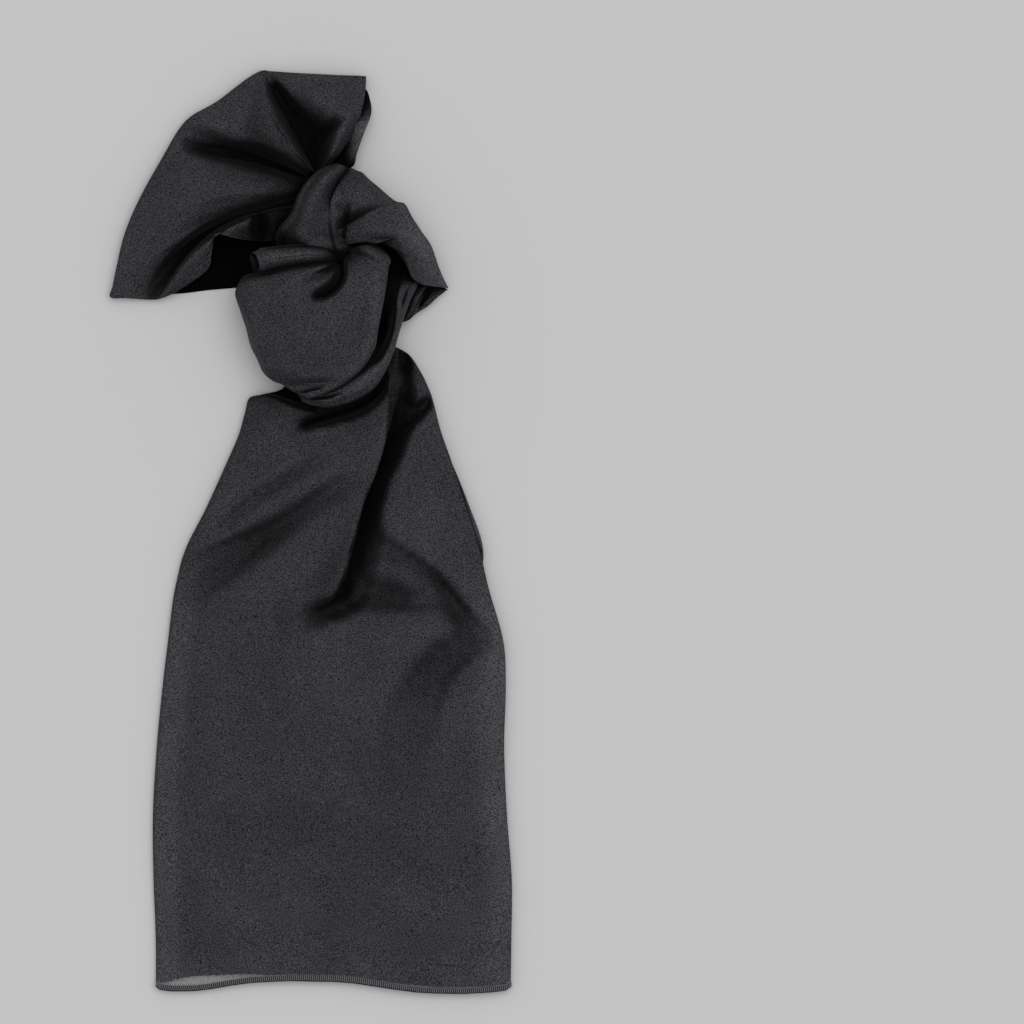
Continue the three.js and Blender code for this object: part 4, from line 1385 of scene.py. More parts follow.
    def under(self) -> Cloth:
        """The crescent of the second turn.

        Returns:
            One sheet, rolled under at its outer side.
        """
        sheet = Sheet(
            sections=straight(self.under_sections),
            rows=np.linspace(0, 1, 130),
            columns=np.linspace(0, 1, 36),
            folds=self.under_folds,
            last=Roll(
                low=[4, 5, 6, 7, 11, 14, 15.2, 16, 16.2, 16.2, 16.2, 16.2],
                under=[4, 6, 6, 6, 5, 4, 4, 4, 4, 4, 3, 1],
                bulge=2.2,
            ),
        )
        return Cloth(
            name="under_wrap",
            grids=[sheet.grid()],
            flat=(0.028, 0.11),
            held="folded",
            rests_on=["tail"],
            stands_for=["under_wrap"],
            lost=partial(light_lost, self.under_shades),
        )

    def lip(self) -> Cloth:
        """The rolled edge of the band along the top of the front turn.

        Returns:
            A tube that is cut at a slant on the left.
        """
        sheet = Sheet(
            sections=straight(self.lip_sections),
            rows=np.linspace(0, 1, 60),
            columns=np.linspace(0, 1, 22),
            folds=self.lip_folds,
            first=Roll(low=[23.6, 23.8, 23.8, 23.8, 23.8, 22, 19], under=[5.5, 5, 4, 3, 3, 1.5, 0.4]),
            last=Roll(low=[24.2, 25.4, 26.4, 26.8, 26, 23, 19.2], under=[4, 3, 1, 1, 1, 0.5, 0.2]),
        )
        grid = sheet.grid()
        near_end = 1 - smooth_step(sheet.rows / 0.25)[:, None]
        grid[..., 0] += self.lip_slant * (grid[..., 2] - self.lip_level) * near_end
        return Cloth(
            name="knot_lip",
            grids=[grid],
            flat=(0.027, 0.048),
            held="folded",
            rests_on=["knot_wrap"],
            stands_for=["knot_lip"],
            lost=partial(light_lost, self.lip_shades),
        )

    def core(self) -> Cloth:
        """The crumpled stretches of the band buried in the knot.

        Returns:
            A wrinkled tube of squarish rings.
        """
        rings = along(np.array(self.core_rings, float), np.linspace(0, 1, 44))
        turn = np.linspace(0, 2 * math.pi, 97)
        c, s = np.cos(turn), np.sin(turn)
        corner = (np.abs(c) ** 3 + np.abs(s) ** 3) ** (-1 / 3)
        made = []
        for y, left, right, low, high, wrinkle in rings:
            width, height = (right - left) / 2, (high - low) / 2
            wave = 1 + np.cos(turn * self.core_wrinkles + y * self.core_twist)
            depth = np.where(s > 0, max(wrinkle, 0) * wave, 0)
            x = left + width + c * corner * (width - depth)
            z = low + height + s * corner * (height - depth)
            made.append(np.stack([x, np.full_like(x, y), z], 1))
        return Cloth(
            name="knot_core",
            grids=[np.array(made)[:, ::-1]],
            flat=(0.045, 0.11),
            held="folded",
            rests_on=["floor"],
            stands_for=["knot_core"],
        )

    def cloths(self) -> list[Cloth]:
        """Every turn of the knot."""
        return [self.wrap(), self.under(), self.lip(), self.core()]


@dataclass
class ShortEnd:
    """The gathered band above the knot, the side loop, and the fanned short end with its back layer.

    Attributes:
        neck_sections: Rows of left x, left y, right x, right y, and heights across the gathered band.
        neck_folds: Its folds.
        loop_sections: Sections of the loop's front layer, as rows of points.
        loop_folds: Its folds.
        loop_back_sections: Sections of the loop's back layer, as rows of points.
        loop_back_folds: Its folds.
        fan_ribs: Sections of the short end: rows of inner x, inner y, outer x, outer y, bow to the
            right, and heights from the inside out.
        void_edge: Points of its last section, along the hollow under the flap.
        fan_folds: Its folds.
        fan_shades: Paths of light lost on the short end.
        strand_shades: The same on the gathered band and on the loop.
        mouth_shades: The same on the loop's back layer.
        back_outline: Outline of the short end's back layer.
        back_middle: The point that it is filled out from.
        back_lift: Its swell at the upper right: x, y, height, half width and half length.
        back_columns: Rings of the back layer, from its outline in.
    """

    neck_sections: Rows = (
        (-13, 136, 29, 135, 8, 19, 19, 12),
        (-15, 141.6, 25, 140, 11, 29, 27, 18),
        (-16.6, 146, 18, 144.6, 13, 29.8, 29.4, 22),
        (-14.6, 151.6, 12.5, 150, 15, 28.4, 27.6, 22.6),
        (-9.5, 159, 12.5, 159.5, 18, 25, 24, 21.6),
        (-6, 168, 14, 167, 17, 23.6, 22.4, 20.4),
        (-1, 175.5, 17, 173, 16.6, 22.4, 20.6, 17),
        (5, 181, 20, 177.5, 15, 19.4, 17.4, 12.6),
        (13, 183.8, 20.3, 181, 13, 15, 12.5, 9.5),
    )
    neck_folds: Sequence[Fold] = (
        Fold("hollow along the neck", (
            (19.4, 181, -1, 2, 3), (15, 175, -1.6, 3, 4.6), (10.6, 168.6, -1.7, 3.4, 5),
            (8, 162, -1, 3, 4.6), (7, 156, 0, 3, 4),
        )),
    )
    loop_sections: Sequence[Rows] = (
        ((20.3, 181.4, 14), (21, 181.2, 14), (21.6, 180.8, 12.5), (22.4, 180, 10)),
        ((14.7, 174, 19), (19, 174.5, 19.5), (26, 175.2, 16), (32.6, 173, 9)),
        ((10.8, 166, 22.5), (18, 166.5, 22), (30, 167.5, 19), (42.4, 165.2, 9.5)),
        ((9.9, 160, 23), (18, 160, 21), (33, 162, 21), (47.4, 163.6, 10)),
        ((10, 155, 23), (18, 155, 20.5), (34, 157, 21.5), (51.4, 157.4, 10)),
        ((10.5, 150.5, 23), (18, 151, 21), (36, 152.5, 22), (56.4, 150, 10)),
        ((12, 145, 21.5), (18, 145.5, 22), (38, 148.5, 22), (63, 139.8, 9.5)),
        (
            (13.4, 138.6, 17), (18, 142.8, 23), (27.5, 144.3, 25), (31.5, 142.9, 24.6),
            (35.5, 144.2, 26), (41.5, 145.4, 25), (43.8, 140.8, 23.4), (47.3, 136.8, 22),
            (48.6, 131.8, 20.6), (50.6, 126.8, 18.4), (54.5, 123.9, 12), (58, 123, 9.4), (70, 121.6, 6),
        ),
    )
    loop_folds: Sequence[Fold] = (
        Fold("slit", (
            (19.4, 164, 0, 1.5, 2), (18.4, 158, -1.8, 1.5, 3), (17.4, 152.6, -3.4, 1.4, 1.6),
            (16.4, 146, -5, 1.2, 1.3), (15, 139, -5, 1.2, 1.3),
        )),
        Fold("loop crease", (
            (17.2, 152.4, -3, 6, 0.8), (24.5, 156.8, -2.2, 5, 0.8), (31.5, 160.8, -1.8, 4, 0.8),
            (37.5, 163.2, -1, 3, 0.8), (41, 164, 0, 2, 0.8),
        )),
        Fold("dip above the crease", ((24, 166, 0, 6, 5), (29, 165.6, -0.7, 6, 5), (35, 167, 0, 6, 5))),
    )
    loop_back_sections: Sequence[Rows] = (
        ((20, 150, 0.3), (40, 152, 0.3), (54, 147, 2)),
        ((22, 134, 0.3), (44, 132, 0.3), (62, 130, 3.4)),
        ((27, 119, 2), (47, 118, 8), (56, 121, 4), (67, 122.2, 4.4)),
        (
            (33, 108, 2), (46.4, 105, 7), (52.6, 109.2, 4.6), (58.4, 112.8, 4.2), (63, 117, 4.2),
            (68.4, 121.2, 4.2),
        ),
    )
    loop_back_folds: Sequence[Fold] = (
        Fold("lip of the mouth", (
            (58, 125, 4, 0.8, 9, 0.5), (56.4, 122.6, 5, 0.8, 10, 0.6), (53.6, 117.6, 5, 0.8, 10, 0.6),
            (50, 111.4, 3.6, 0.8, 9, 0.5), (46.4, 105.4, 1, 0.8, 7, 0.3),
        )),
        Fold("mouth", (
            (58.4, 123.6, -3, 3.4, 0.6), (57, 119.4, -3.6, 3, 0.6), (55, 115.4, -2.6, 2.4, 0.6),
            (52.6, 111.4, 0, 2, 0.6),
        )),
    )
    fan_ribs: Rows = (
        (7, 181, 27.6, 228, 5.5, 10, 11, 10, 8.6, 8.4, 5.6),
        (6, 181, 22, 228.2, 3, 12, 15, 16, 14.6, 12, 10, 6),
        (5, 181, 13, 228.3, 1, 9, 9.4, 10, 13, 14, 12, 6),
        (3, 180.5, 1, 228.9, 0, 6, 3, 3, 8, 13.6, 12, 6),
        (1.8, 180, -12, 229.8, -1.6, 5, 4, 4, 5, 8, 9, 5.6),
        (1.4, 180, -20.4, 230.4, -1.6, 6, 4, 5, 7.4, 5.6),
        (0.6, 180, -25, 230.6, -4.4, 12, 18, 17.4, 13, 6),
        (0, 179.5, -33, 226, -1, 12, 18, 17, 13.6, 6),
        (-1, 179, -47.2, 215.2, 0, 11, 15, 15, 13, 6),
        (-2, 178, -59.8, 208, 0, 8, 10, 12, 12, 6),
        (0, 178.5, -66.5, 201, -2.6, 6, 4.5, 4.5, 5.4, 5.5),
        (1, 175, -74.3, 187.5, -2, 9, 14, 15, 13, 6),
        (0, 171, -85.5, 167.4, 0, 10, 18.4, 19, 14, 6),
        (-1, 168, -93.3, 149.2, 3.4, 11, 17, 17, 13, 6),
        (-1, 166.5, -97.5, 132.2, 6.4, 9, 13, 13, 11, 5.5),
        (-1.5, 166.2, -99.4, 122.8, 7.8, 8.4, 12, 12, 10, 5.2),
        (-2, 166, -100.6, 117.2, 9.2, 8.4, 10.4, 10.4, 9, 5),
        (-2.4, 165.6, -93, 116.8, 10.8, 7.6, 8.6, 8.6, 8, 4.8),
        (-3, 165, -80, 116, 13, 6, 4.5, 4.5, 4.2, 3.2),
        (-3, 161, -74.5, 116.8, 12, 10, 14, 14, 12, 5),
    )
    void_edge: Rows = (
        (-5, 145, 10), (-19, 145, 11.4), (-30, 145.3, 13), (-40, 147, 14), (-47.5, 148.6, 14),
        (-49.3, 141, 13), (-51, 132, 11.5), (-58, 126, 9), (-68, 119.6, 5),
    )
    fan_folds: Sequence[Fold] = (
        Fold("first crease", (
            (2.4, 184, -1, 2, 2), (0.2, 191, -2, 3, 6), (-3.6, 198.6, -4, 4.6, 8),
            (-8.6, 205.4, -6, 5, 8.4), (-13.4, 211.6, -7, 5, 7.4), (-17.6, 218, -6.6, 4.6, 6.4),
            (-21.4, 224.6, -1, 3, 5),
        )),
        Fold("branch to the right", (
            (4, 191, 0, 6, 3), (8.6, 198, -4, 7, 3), (12.4, 203, -3.4, 6, 3), (17, 208, 0, 5, 3),
        )),
        Fold("second crease", (
            (-65, 195, 0, 6, 5), (-56.6, 191.6, -3, 5, 4.6), (-45, 188.8, -4.4, 5.4, 4.2),
            (-33, 187.4, -5, 9, 4), (-20, 184.4, -5.2, 8, 3.8), (-8.5, 179.6, -5.4, 3.4, 6),
            (-1, 176, -4, 2.4, 7),
        )),
        Fold("third crease", (
            (-7, 164.4, -4, 2, 7), (-16, 162.2, -5, 2, 4), (-27, 160.2, -5.4, 2, 2.2),
            (-38, 157.4, -6.2, 2, 2.4), (-48.4, 152.2, -7, 2.4, 4), (-56.8, 145.2, -7, 3, 6),
            (-64.6, 136.4, -6.8, 3, 7), (-72, 127.4, -6.4, 3, 7), (-77.4, 120.4, -2.4, 3, 5),
        )),
        Fold("flap fold", (
            (-26, 160.6, -2, 3, 3), (-25, 155, -7, 6, 6), (-24.4, 149, -7, 6, 6), (-24, 144, -3, 4, 4),
        )),
    )
    fan_shades: Sequence[Fold] = (
        Fold("left of the first crease", (
            (-23, 231, 0.1, 6, 6), (-25.6, 217, 0.24, 9, 7), (-29, 203, 0.4, 13, 8),
            (-25, 193, 0.46, 9, 7), (-16, 185, 0.3, 6, 5), (-8, 180, 0, 4, 4),
        )),
        Fold("first crease's upper end", (
            (-20, 230, 0, 4, 5), (-14.6, 222, 0.26, 6, 5), (-10.6, 215, 0.26, 6, 5), (-6, 208, 0, 5, 4),
        )),
        Fold("above the branch", (
            (-8, 222, 0, 8, 8), (6, 220, 0.08, 8, 8), (18, 217, 0.12, 8, 8), (24, 210, 0, 6, 6),
        )),
        Fold("lit below the second crease", (
            (-50, 185, 0, 3, 3), (-38, 182.4, -0.45, 3, 5), (-25, 179.6, -0.45, 3, 5),
            (-14, 176, 0, 3, 3),
        )),
        Fold("lit above the second crease", (
            (-60, 202, 0, 4, 4), (-52, 198.6, -0.5, 5, 4), (-42, 196, -0.4, 4, 3),
            (-34, 194.6, 0, 3, 3),
        )),
        Fold("lit above the first crease's branch", (
            (-6, 210, 0, 4, 4), (0, 209, -0.4, 4, 5), (7, 208, 0, 4, 4),
        )),
        Fold("where the fan is gathered", (
            (5, 173, 0.2, 5, 5), (-6, 172.6, 0.4, 6, 6), (-16, 172.4, 0.3, 6, 6), (-30, 173, 0, 5, 5),
        )),
        Fold("third crease's lower end", (
            (-56, 147, 0, 3, 3), (-64, 138.4, 0.4, 3, 5), (-71, 129.6, 0.66, 3, 6),
            (-76.4, 122.4, 0.8, 3.4, 6), (-79.6, 117, 0.66, 4, 6), (-81, 112, 0.4, 4, 5),
        )),
        Fold("left part", (
            (-56, 190, 0, 14, 14), (-70, 168, 0.06, 18, 18), (-78, 148, 0.06, 14, 14),
            (-84, 130, 0, 10, 10),
        )),
        Fold("depth of the second crease", (
            (-62, 194, 0, 3, 3), (-50, 190, 0.45, 4, 4), (-38, 188.4, 0.55, 5, 4),
            (-25, 186.6, 0.55, 6, 4), (-12, 181.6, 0.5, 4, 4), (-3, 178, 0.4, 3, 3),
        )),
        Fold("depth of the first crease", (
            (-16, 220, 0, 4, 4), (-11, 212, 0.3, 6, 6), (-5, 204, 0.5, 7, 7), (0, 196, 0.5, 5, 5),
            (2, 188, 0.3, 3, 3),
        )),
        Fold("where the flap begins", (
            (-6, 166, 0.2, 4, 4), (-16, 161, 0.36, 5, 5), (-26, 157, 0, 4, 4),
        )),
        Fold("lit ridge between the creases", (
            (-16, 205, 0, 3, 3), (-11.4, 197, -1, 5, 4), (-6, 187.6, -1, 4, 4), (-2, 182, 0, 2, 2),
        )),
        Fold("lit right part", (
            (4, 184, 0, 3, 3), (8.6, 190, -0.8, 4, 4), (13, 198, -0.4, 4, 4), (18, 206, 0, 4, 4),
        )),
        Fold("above the third crease", (
            (-20, 165, 0, 3, 3), (-30, 164.4, -0.5, 3, 4), (-42, 162, -0.5, 3, 4), (-54, 156, 0, 3, 4),
        )),
        Fold("lit flap", (
            (-22, 156, 0, 3, 3), (-34, 154.6, -0.9, 4, 4), (-46, 148, -0.9, 4, 4), (-54, 138, 0, 4, 4),
        )),
    )
    strand_shades: Sequence[Fold] = (
        Fold("left of the slit", (
            (4, 184, 0.16, 4, 4), (2, 172, 0.2, 6, 6), (3, 160, 0.2, 7, 7), (2, 150, 0.2, 7, 7),
            (-2, 143.6, 0.34, 4, 6), (-4, 140, 0, 4, 4),
        )),
        Fold("top of the loop", (
            (24, 180, 0, 5, 5), (19, 172, 0.3, 8, 6), (14.6, 164.6, 0.12, 5, 5), (12, 160, 0, 3, 3),
        )),
        Fold("right of the loop's crease", (
            (28, 166, 0, 6, 6), (36, 159.6, 0.18, 7, 7), (42, 152, 0.1, 6, 6), (46, 145, 0, 5, 5),
        )),
        Fold("lit loop", (
            (20, 147, 0, 3, 3), (30, 149, -0.2, 4, 5), (42, 150, -0.2, 4, 5), (50, 145, 0, 4, 4),
        )),
        Fold("line beside the loop", (
            (9.4, 158.6, 0, 1, 1.4), (9.8, 153, 0.7, 1.2, 1.6), (11, 146, 0.9, 1.2, 1.6),
            (12.6, 140, 0.8, 1.4, 1.6), (13.6, 137, 0, 1, 1),
        )),
        Fold("lit right of the slit", ((12, 164, 0, 2, 2), (13, 156, -0.4, 3, 3), (12, 149, 0, 2, 2))),
    )
    mouth_shades: Sequence[Fold] = (
        Fold("lit inside of the mouth", (
            (66, 121, 0, 4, 4), (61.6, 116, -1, 6, 4), (55.6, 111.4, -1, 5, 4), (50, 107, 0, 4, 3),
        )),
    )
    back_outline: Rows = (
        (12, 181.6), (20.8, 182.6), (23, 189), (26, 197.6), (29.2, 206), (30.2, 211), (29.2, 217),
        (27.4, 221.4), (22, 225), (10, 225.6), (-12, 226.6), (-24, 227), (-46, 213), (-59, 204),
        (-65, 198), (-79, 173), (-90, 149), (-95, 131), (-97.5, 119.6), (-80, 118.6), (-65, 119.2),
        (-52, 120.8), (-40, 121.9), (-33, 122.6), (-26, 127), (-19, 132), (-12, 138), (-5, 143),
    )
    back_middle: Sequence[float] = (-20, 165)
    back_lift: Sequence[float] = (26, 195, 9.6, 13, 16)
    back_columns: int = 50

    def neck(self) -> Cloth:
        """The gathered band from the eye of the knot up to the short end.

        Returns:
            One sheet, rolled under at its left side.
        """
        sheet = Sheet(
            sections=straight(self.neck_sections),
            rows=np.linspace(0, 1, 64),
            columns=np.linspace(0, 1, 44),
            folds=self.neck_folds,
            first=Roll(
                low=[5, 8, 10, 12, 14.5, 14.5, 14, 13, 11.4],
                under=[1, 2, 3, 5, 6, 6, 5, 4, 2],
            ),
        )
        return Cloth(
            name="neck_strand",
            grids=[sheet.grid()],
            flat=(0.045, 0.05),
            held="gathered",
            rests_on=["knot_core"],
            stands_for=["neck_strand"],
            lost=partial(light_lost, self.strand_shades),
        )

    def loop(self) -> list[Cloth]:
        """Both layers of the side loop.

        Returns:
            The front layer and the back layer.
        """
        front = Sheet(
            sections=points(self.loop_sections),
            rows=np.linspace(0, 1, 96),
            columns=np.linspace(0, 1, 96),
            folds=self.loop_folds,
            lowest=16,
            last=Roll(low=[8, 6, 5.6, 5.4, 5.4, 5.4, 5.4], under=[2, 6, 8, 10, 10, 10, 6]),
        )
        back = Sheet(
            sections=points(self.loop_back_sections),
            rows=np.linspace(0, 1, 70),
            columns=np.linspace(0, 1, 76),
            folds=self.loop_back_folds,
            lowest=0.6,
        )
        return [
            Cloth(
                name="loop_front",
                grids=[front.grid()],
                flat=(0.055, 0.062),
                held="folded",
                rests_on=["knot_wrap"],
                stands_for=["loop_front"],
                painted_light=self.painted_light,
                lost=partial(light_lost, self.strand_shades),
            ),
            Cloth(
                name="loop_back",
                grids=[back.grid()],
                flat=(0.04, 0.044),
                held="folded",
                rests_on=["floor"],
                stands_for=["loop_back"],
                painted_light=self.painted_light,
                lost=partial(light_lost, self.mouth_shades),
            ),
        ]

    @staticmethod
    def rib(row: Sequence[float]) -> np.ndarray:
        """Points along one section of the short end, from inside to outside.

        Args:
            row: A row of fan_ribs.

        Returns:
            The points.
        """
        x, y, end_x, end_y, bow, *heights = row
        dx, dy = end_x - x, end_y - y
        t = np.linspace(0, 1, len(heights))
        out = bow * 4 * t * (1 - t) / math.hypot(dx, dy)
        return np.stack([x + t * dx + dy * out, y + t * dy - dx * out, heights], 1)

    @staticmethod
    def painted_light(spots: np.ndarray) -> np.ndarray:
        """Painted light along the loop's outer edge and the short end's right edge, as missing layers.

        Args:
            spots: Points shaped (count, 3), in millimetres.

        Returns:
            The shares.
        """
        x, y = spots[:, 0], spots[:, 1]
        loop = smooth_step((x + 0.6 * (y - 130) - 46) / 20) * smooth_step((176 - y) / 30)
        strip = smooth_step((x - 12) / 6) * smooth_step((216 - y) / 5)
        return np.clip(np.where(y > 181, strip, loop * 0.7), 0, 1)

    @staticmethod
    def lost(spots: np.ndarray) -> np.ndarray:
        """Share of light lost in the hollow under the flap, whose leaves stand close together."""
        return 0.93 * smooth_step((spots[:, 0] + 76) / 8) * smooth_step((160 - spots[:, 1]) / 8)

    def fan(self) -> list[Cloth]:
        """Both layers of the fanned short end.

        Returns:
            The front layer and the back layer.
        """
        front = Sheet(
            sections=[*(self.rib(row) for row in self.fan_ribs), np.array(self.void_edge, float)],
            rows=np.linspace(0, 1, 300),
            columns=np.linspace(0, 1, 84),
            folds=self.fan_folds,
            lowest=SECOND_LAYER + 1.2,
            last=Roll(low=[SECOND_LAYER, SECOND_LAYER], under=[8.0, 8.0]),
        )
        outline = np.array(self.back_outline, float)
        middle = np.array(self.back_middle, float)
        edge = along(outline, np.linspace(0, 1, 180))
        share = 1 - 0.88 * np.linspace(1, 0, self.back_columns) ** 2
        flat = middle + share[None, :, None] * (edge[:, None] - middle)
        x, y, lift, wide, long = self.back_lift
        swell = np.exp(-(((flat[..., 0] - x) / wide) ** 4) - ((flat[..., 1] - y) / long) ** 4)
        back = np.concatenate([flat, (FLOOR + lift * swell)[..., None]], axis=2)
        return [
            Cloth(
                name="fan_front",
                grids=[front.grid()],
                flat=(0.150, 0.10),
                held="folded",
                rests_on=["fan_back"],
                stands_for=["fan_front"],
                lost=partial(light_lost, self.fan_shades),
            ),
            Cloth(
                name="fan_back",
                grids=[back],
                flat=(0.105, 0.09),
                held="laid",
                rests_on=["floor"],
                stands_for=["fan_back"],
                painted_light=self.painted_light,
                lost=self.lost,
            ),
        ]

    def cloths(self) -> list[Cloth]:
        """Every sheet of the short end and its loop."""
        return [self.neck(), *self.loop(), *self.fan()]


@dataclass
class Hem:
    """The overlocked edge of the tail's front layer: a firm band with a row of thread loops over it.

    Attributes:
        flat: Length and height of the stretch that shows, in metres.
        height: Height of the band.
        thick: Its thickness.
        gap: How far below the cloth's edge it starts.
        wave: How far its lower edge waves up and down.
        wave_rate: Radians of that wave in a millimetre.
        shade: Share of light lost between the threads.
        pitch: Spacing of the thread loops.
        thread: Radius of the thread.
        slant: How far along the edge each loop slants.
        ends: How far the ends of a loop reach into the cloth, above the band and below it.
        arch: How high a loop's middle is drawn, as a share of the band's thickness.
        fall: Where it comes down again, as a share of the band's height.
    """

    flat: tuple[float, float] = (0.18, 0.003)
    height: float = 2.9
    thick: float = 1.0
    gap: float = 0.2
    wave: float = 0.12
    wave_rate: float = 2.1
    shade: float = 0.5
    pitch: float = 1.0
    thread: float = 0.22
    slant: float = 0.5
    ends: float = 0.3
    arch: float = 1.15
    fall: float = 0.93

    @staticmethod
    def line(tail: Tail) -> np.ndarray:
        """Points along the lower edge of the tail's front layer.

        Args:
            tail: The long end that carries the hem.

        Returns:
            Points from left to right, in millimetres.
        """
        end = straight([tail.sections[-1]])[0]
        edge = along(end, np.linspace(0, 1, 180))
        edge[:, 1] += np.interp(edge[:, 0], *np.array(tail.hem_drop, float).T)
        return edge

    def band(self, tail: Tail) -> np.ndarray:
        """Grid of the band from the cloth's edge down.

        Args:
            tail: The long end that carries the hem.

        Returns:
            Points shaped (rows, columns, 3).
        """
        edge = self.line(tail)
        made = []
        for share in np.linspace(0, 1, 9):
            row = edge.copy()
            row[:, 1] -= self.gap + share * self.height
            row[:, 2] += self.wave * np.sin(edge[:, 0] * self.wave_rate) * share
            made.append(row)
        return np.array(made)

    def lost(self, spots: np.ndarray) -> np.ndarray:
        """Share of light lost between the threads."""
        return np.full(len(spots), self.shade)

    def cloth(self, tail: Tail) -> Cloth:
        """The band as cloth.

        Args:
            tail: The long end that carries the hem.

        Returns:
            The band.
        """
        return Cloth(
            name="hem",
            grids=[self.band(tail)],
            flat=self.flat,
            held="laid",
            rests_on=["tail"],
            stands_for=["hem"],
            wall=self.thick,
            lost=self.lost,
        )

    def stitch_tree(self, thread: bpy.types.Material) -> tuple[bpy.types.NodeTree, dict[str, float]]:
        """Node tree that sets thread loops along a curve.

        Args:
            thread: The thread's material.

        Returns:
            The tree, and the value in metres for each of its inputs.
        """
        sizes = {
            "Pitch": self.pitch,
            "Thread Radius": self.thread,
            "Height": self.height,
            "Slant": self.slant,
            "Thickness": self.thick,
        }
        tree = bpy.data.node_groups.new("overlock_stitches", "GeometryNodeTree")
        interface = tree.interface
        interface.new_socket("Geometry", in_out="INPUT", socket_type="NodeSocketGeometry")
        values = {}
        for name, size in sizes.items():
            socket = interface.new_socket(name, in_out="INPUT", socket_type="NodeSocketFloat")
            values[socket.identifier] = size * MM
        interface.new_socket("Geometry", in_out="OUTPUT", socket_type="NodeSocketGeometry")
        into = add_node(tree, "NodeGroupInput")
        spots = add_node(
            tree,
            "GeometryNodeCurveToPoints",
            {"mode": "LENGTH"},
            {"Curve": into.outputs["Geometry"], "Length": into.outputs["Pitch"]},
        )

        def place(x: object, y: object, z: object) -> bpy.types.NodeSocket:
            """A point of the loop, each of its numbers a value or a socket."""
            return add_node(tree, "ShaderNodeCombineXYZ", inputs={"X": x, "Y": y, "Z": z}).outputs[0]

        slant, ends = into.outputs["Slant"], self.ends * MM
        top = product(tree, into.outputs["Thickness"], self.arch)
        low = product(tree, into.outputs["Height"], -self.fall)
        bottom = product(tree, into.outputs["Height"], -1.0)
        strand = add_node(
            tree,
            "GeometryNodeCurvePrimitiveBezierSegment",
            {"mode": "POSITION"},
            {
                "Resolution": 6,
                "Start": place(0.0, ends, ends),
                "Start Handle": place(0.0, -ends, top),
                "End Handle": place(slant, low, top),
                "End": place(slant, bottom, -ends),
            },
        )
        ring = add_node(
            tree,
            "GeometryNodeCurvePrimitiveCircle",
            inputs={"Resolution": 5, "Radius": into.outputs["Thread Radius"]},
        )
        loop = add_node(
            tree,
            "GeometryNodeCurveToMesh",
            inputs={"Curve": strand.outputs[0], "Profile Curve": ring.outputs["Curve"], "Fill Caps": True},
        )
        placed = add_node(
            tree,
            "GeometryNodeInstanceOnPoints",
            inputs={"Points": spots.outputs["Points"], "Instance": loop.outputs[0]},
        )
        whole = add_node(tree, "GeometryNodeRealizeInstances", inputs={"Geometry": placed.outputs[0]})
        dressed = add_node(
            tree, "GeometryNodeSetMaterial", inputs={"Geometry": whole.outputs[0], "Material": thread}
        )
        add_node(tree, "NodeGroupOutput", inputs={0: dressed.outputs[0]})
        return tree, values

    def stitches(self, tail: Tail, thread: bpy.types.Material) -> bpy.types.Object:
        """Thread loops along the band, set out by the node tree.

        Args:
            tail: The long end that carries the hem.
            thread: The thread's material.

        Returns:
            The stitches as one plain mesh.
        """
        edge = self.line(tail) * MM
        co = np.concatenate([edge, np.ones((len(edge), 1))], axis=1)
        curve = bpy.data.curves.new("hem_line", "CURVE")
        curve.dimensions = "3D"
        spline = curve.splines.new("POLY")
        spline.points.add(len(edge) - 1)
        spline.points.foreach_set("co", co.astype(np.float32).ravel())
        carrier = bpy.data.objects.new("hem_stitches", curve)
        bpy.context.scene.collection.objects.link(carrier)
        tree, values = self.stitch_tree(thread)
        modifier = carrier.modifiers.new("stitches", "NODES")
        modifier.node_group = tree
        for identifier, value in values.items():
            modifier[identifier] = value
        bpy.context.view_layer.update()
        evaluated = carrier.evaluated_get(bpy.context.evaluated_depsgraph_get())
        mesh = bpy.data.meshes.new_from_object(evaluated)
        mesh.name = "hem_stitches"
        bpy.data.objects.remove(carrier)
        mesh.polygons.foreach_set("use_smooth", np.ones(len(mesh.polygons), bool))
        piece = bpy.data.objects.new("hem_stitches", mesh)
        bpy.context.scene.collection.objects.link(piece)
        return piece


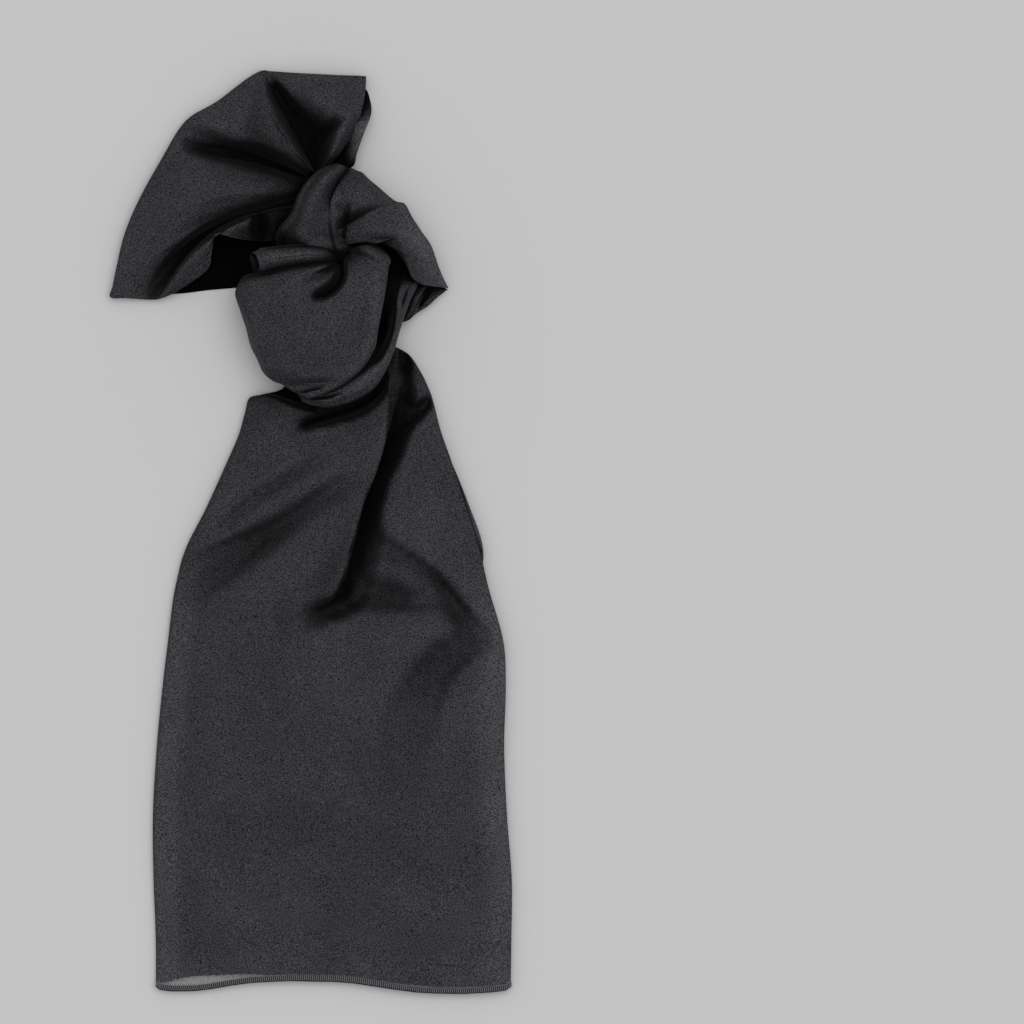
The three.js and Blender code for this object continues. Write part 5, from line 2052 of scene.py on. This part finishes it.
@dataclass
class Studio:
    """Pale floor, soft overhead light, and the camera straight above, in metres.

    Attributes:
        floor_reach: How far the floor reaches from the middle.
        lens: Focal length in millimetres, long because the photograph shows no perspective.
        sensor: Width of the sensor in millimetres.
        frame_width: What the photograph's frame spans.
        frame_height: The height above the floor at which it spans that.
        centre: The place below the camera.
        sky: Strength of the even sky.
        sun: Strength of the soft light.
        sun_spread: Its angle in degrees, as seen from the scarf.
        sun_place: Where it stands.
    """

    floor_reach: float = 4.0
    lens: float = 300.0
    sensor: float = 36.0
    frame_width: float = 0.512
    frame_height: float = 0.008
    centre: tuple[float, float] = (0.1005, 0.00975)
    sky: float = 0.52
    sun: float = 0.95
    sun_spread: float = 60.0
    sun_place: tuple[float, float, float] = (0.25, 0.3, 1.3)

    def floor(self) -> None:
        """Lays the floor."""
        reach = self.floor_reach
        corners = [(-reach, -reach, 0), (reach, -reach, 0), (reach, reach, 0), (-reach, reach, 0)]
        mesh = bpy.data.meshes.new("floor")
        mesh.from_pydata(corners, [], [(0, 1, 2, 3)])
        mesh.materials.append(PaintedFloorFinish().make())
        floor = bpy.data.objects.new("floor", mesh)
        bpy.context.scene.collection.objects.link(floor)

    def light(self) -> None:
        """Sets the even sky and one very soft light from the upper right."""
        world = bpy.data.worlds.new("soft_sky")
        world.use_nodes = True
        background = world.node_tree.nodes["Background"]
        background.inputs["Color"].default_value = (1.0, 1.0, 1.0, 1.0)
        background.inputs["Strength"].default_value = self.sky
        bpy.context.scene.world = world
        data = bpy.data.lights.new("soft_light", "SUN")
        data.angle = math.radians(self.sun_spread)
        data.energy = self.sun
        lamp = bpy.data.objects.new("soft_light", data)
        lamp.location = self.sun_place
        lamp.rotation_euler = (-Vector(self.sun_place)).to_track_quat("-Z", "Y").to_euler()
        bpy.context.scene.collection.objects.link(lamp)

    def camera(self) -> None:
        """Hangs the camera straight above, with the photograph's frame."""
        data = bpy.data.cameras.new("camera")
        data.lens = self.lens
        data.sensor_width = self.sensor
        distance = self.frame_width * self.lens / self.sensor
        data.clip_end = distance * 4
        camera = bpy.data.objects.new("camera", data)
        camera.location = (*self.centre, distance + self.frame_height)
        bpy.context.scene.collection.objects.link(camera)
        bpy.context.scene.camera = camera

    def set_up(self) -> None:
        """Builds the floor, the light and the camera."""
        self.floor()
        self.light()
        self.camera()
        bpy.context.scene.view_settings.view_transform = "Standard"


def main() -> None:
    """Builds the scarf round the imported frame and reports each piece."""
    logging.basicConfig(level=logging.INFO, format="%(name)s: %(message)s")
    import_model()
    Studio().set_up()
    crepe = CrepeFinish().make()
    sheer = CrepeFinish(name="sheer_crepe_chiffon", see_through=0.86).make()
    thread = ThreadFinish().make()
    tail, knot, short_end, hem = Tail(), Knot(), ShortEnd(), Hem()
    cloths = [tail.cloth(), *knot.cloths(), *short_end.cloths()]
    LOG.info("sheets shaped")
    shade = FoldShade()
    shade.gather(cloths)
    for cloth in [*cloths, hem.cloth(tail)]:
        shades = [shade.of_grid(grid) for grid in cloth.grids]
        piece = cloth.build(shades, [crepe, sheer])
        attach(piece, "root")
        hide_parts(*cloth.stands_for)
        LOG.info("%s: %d faces", cloth.name, len(piece.data.polygons))
    stitches = hem.stitches(tail, thread)
    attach(stitches, "root")
    LOG.info("hem_stitches: %d faces", len(stitches.data.polygons))


if __name__ == "__main__":
    main()
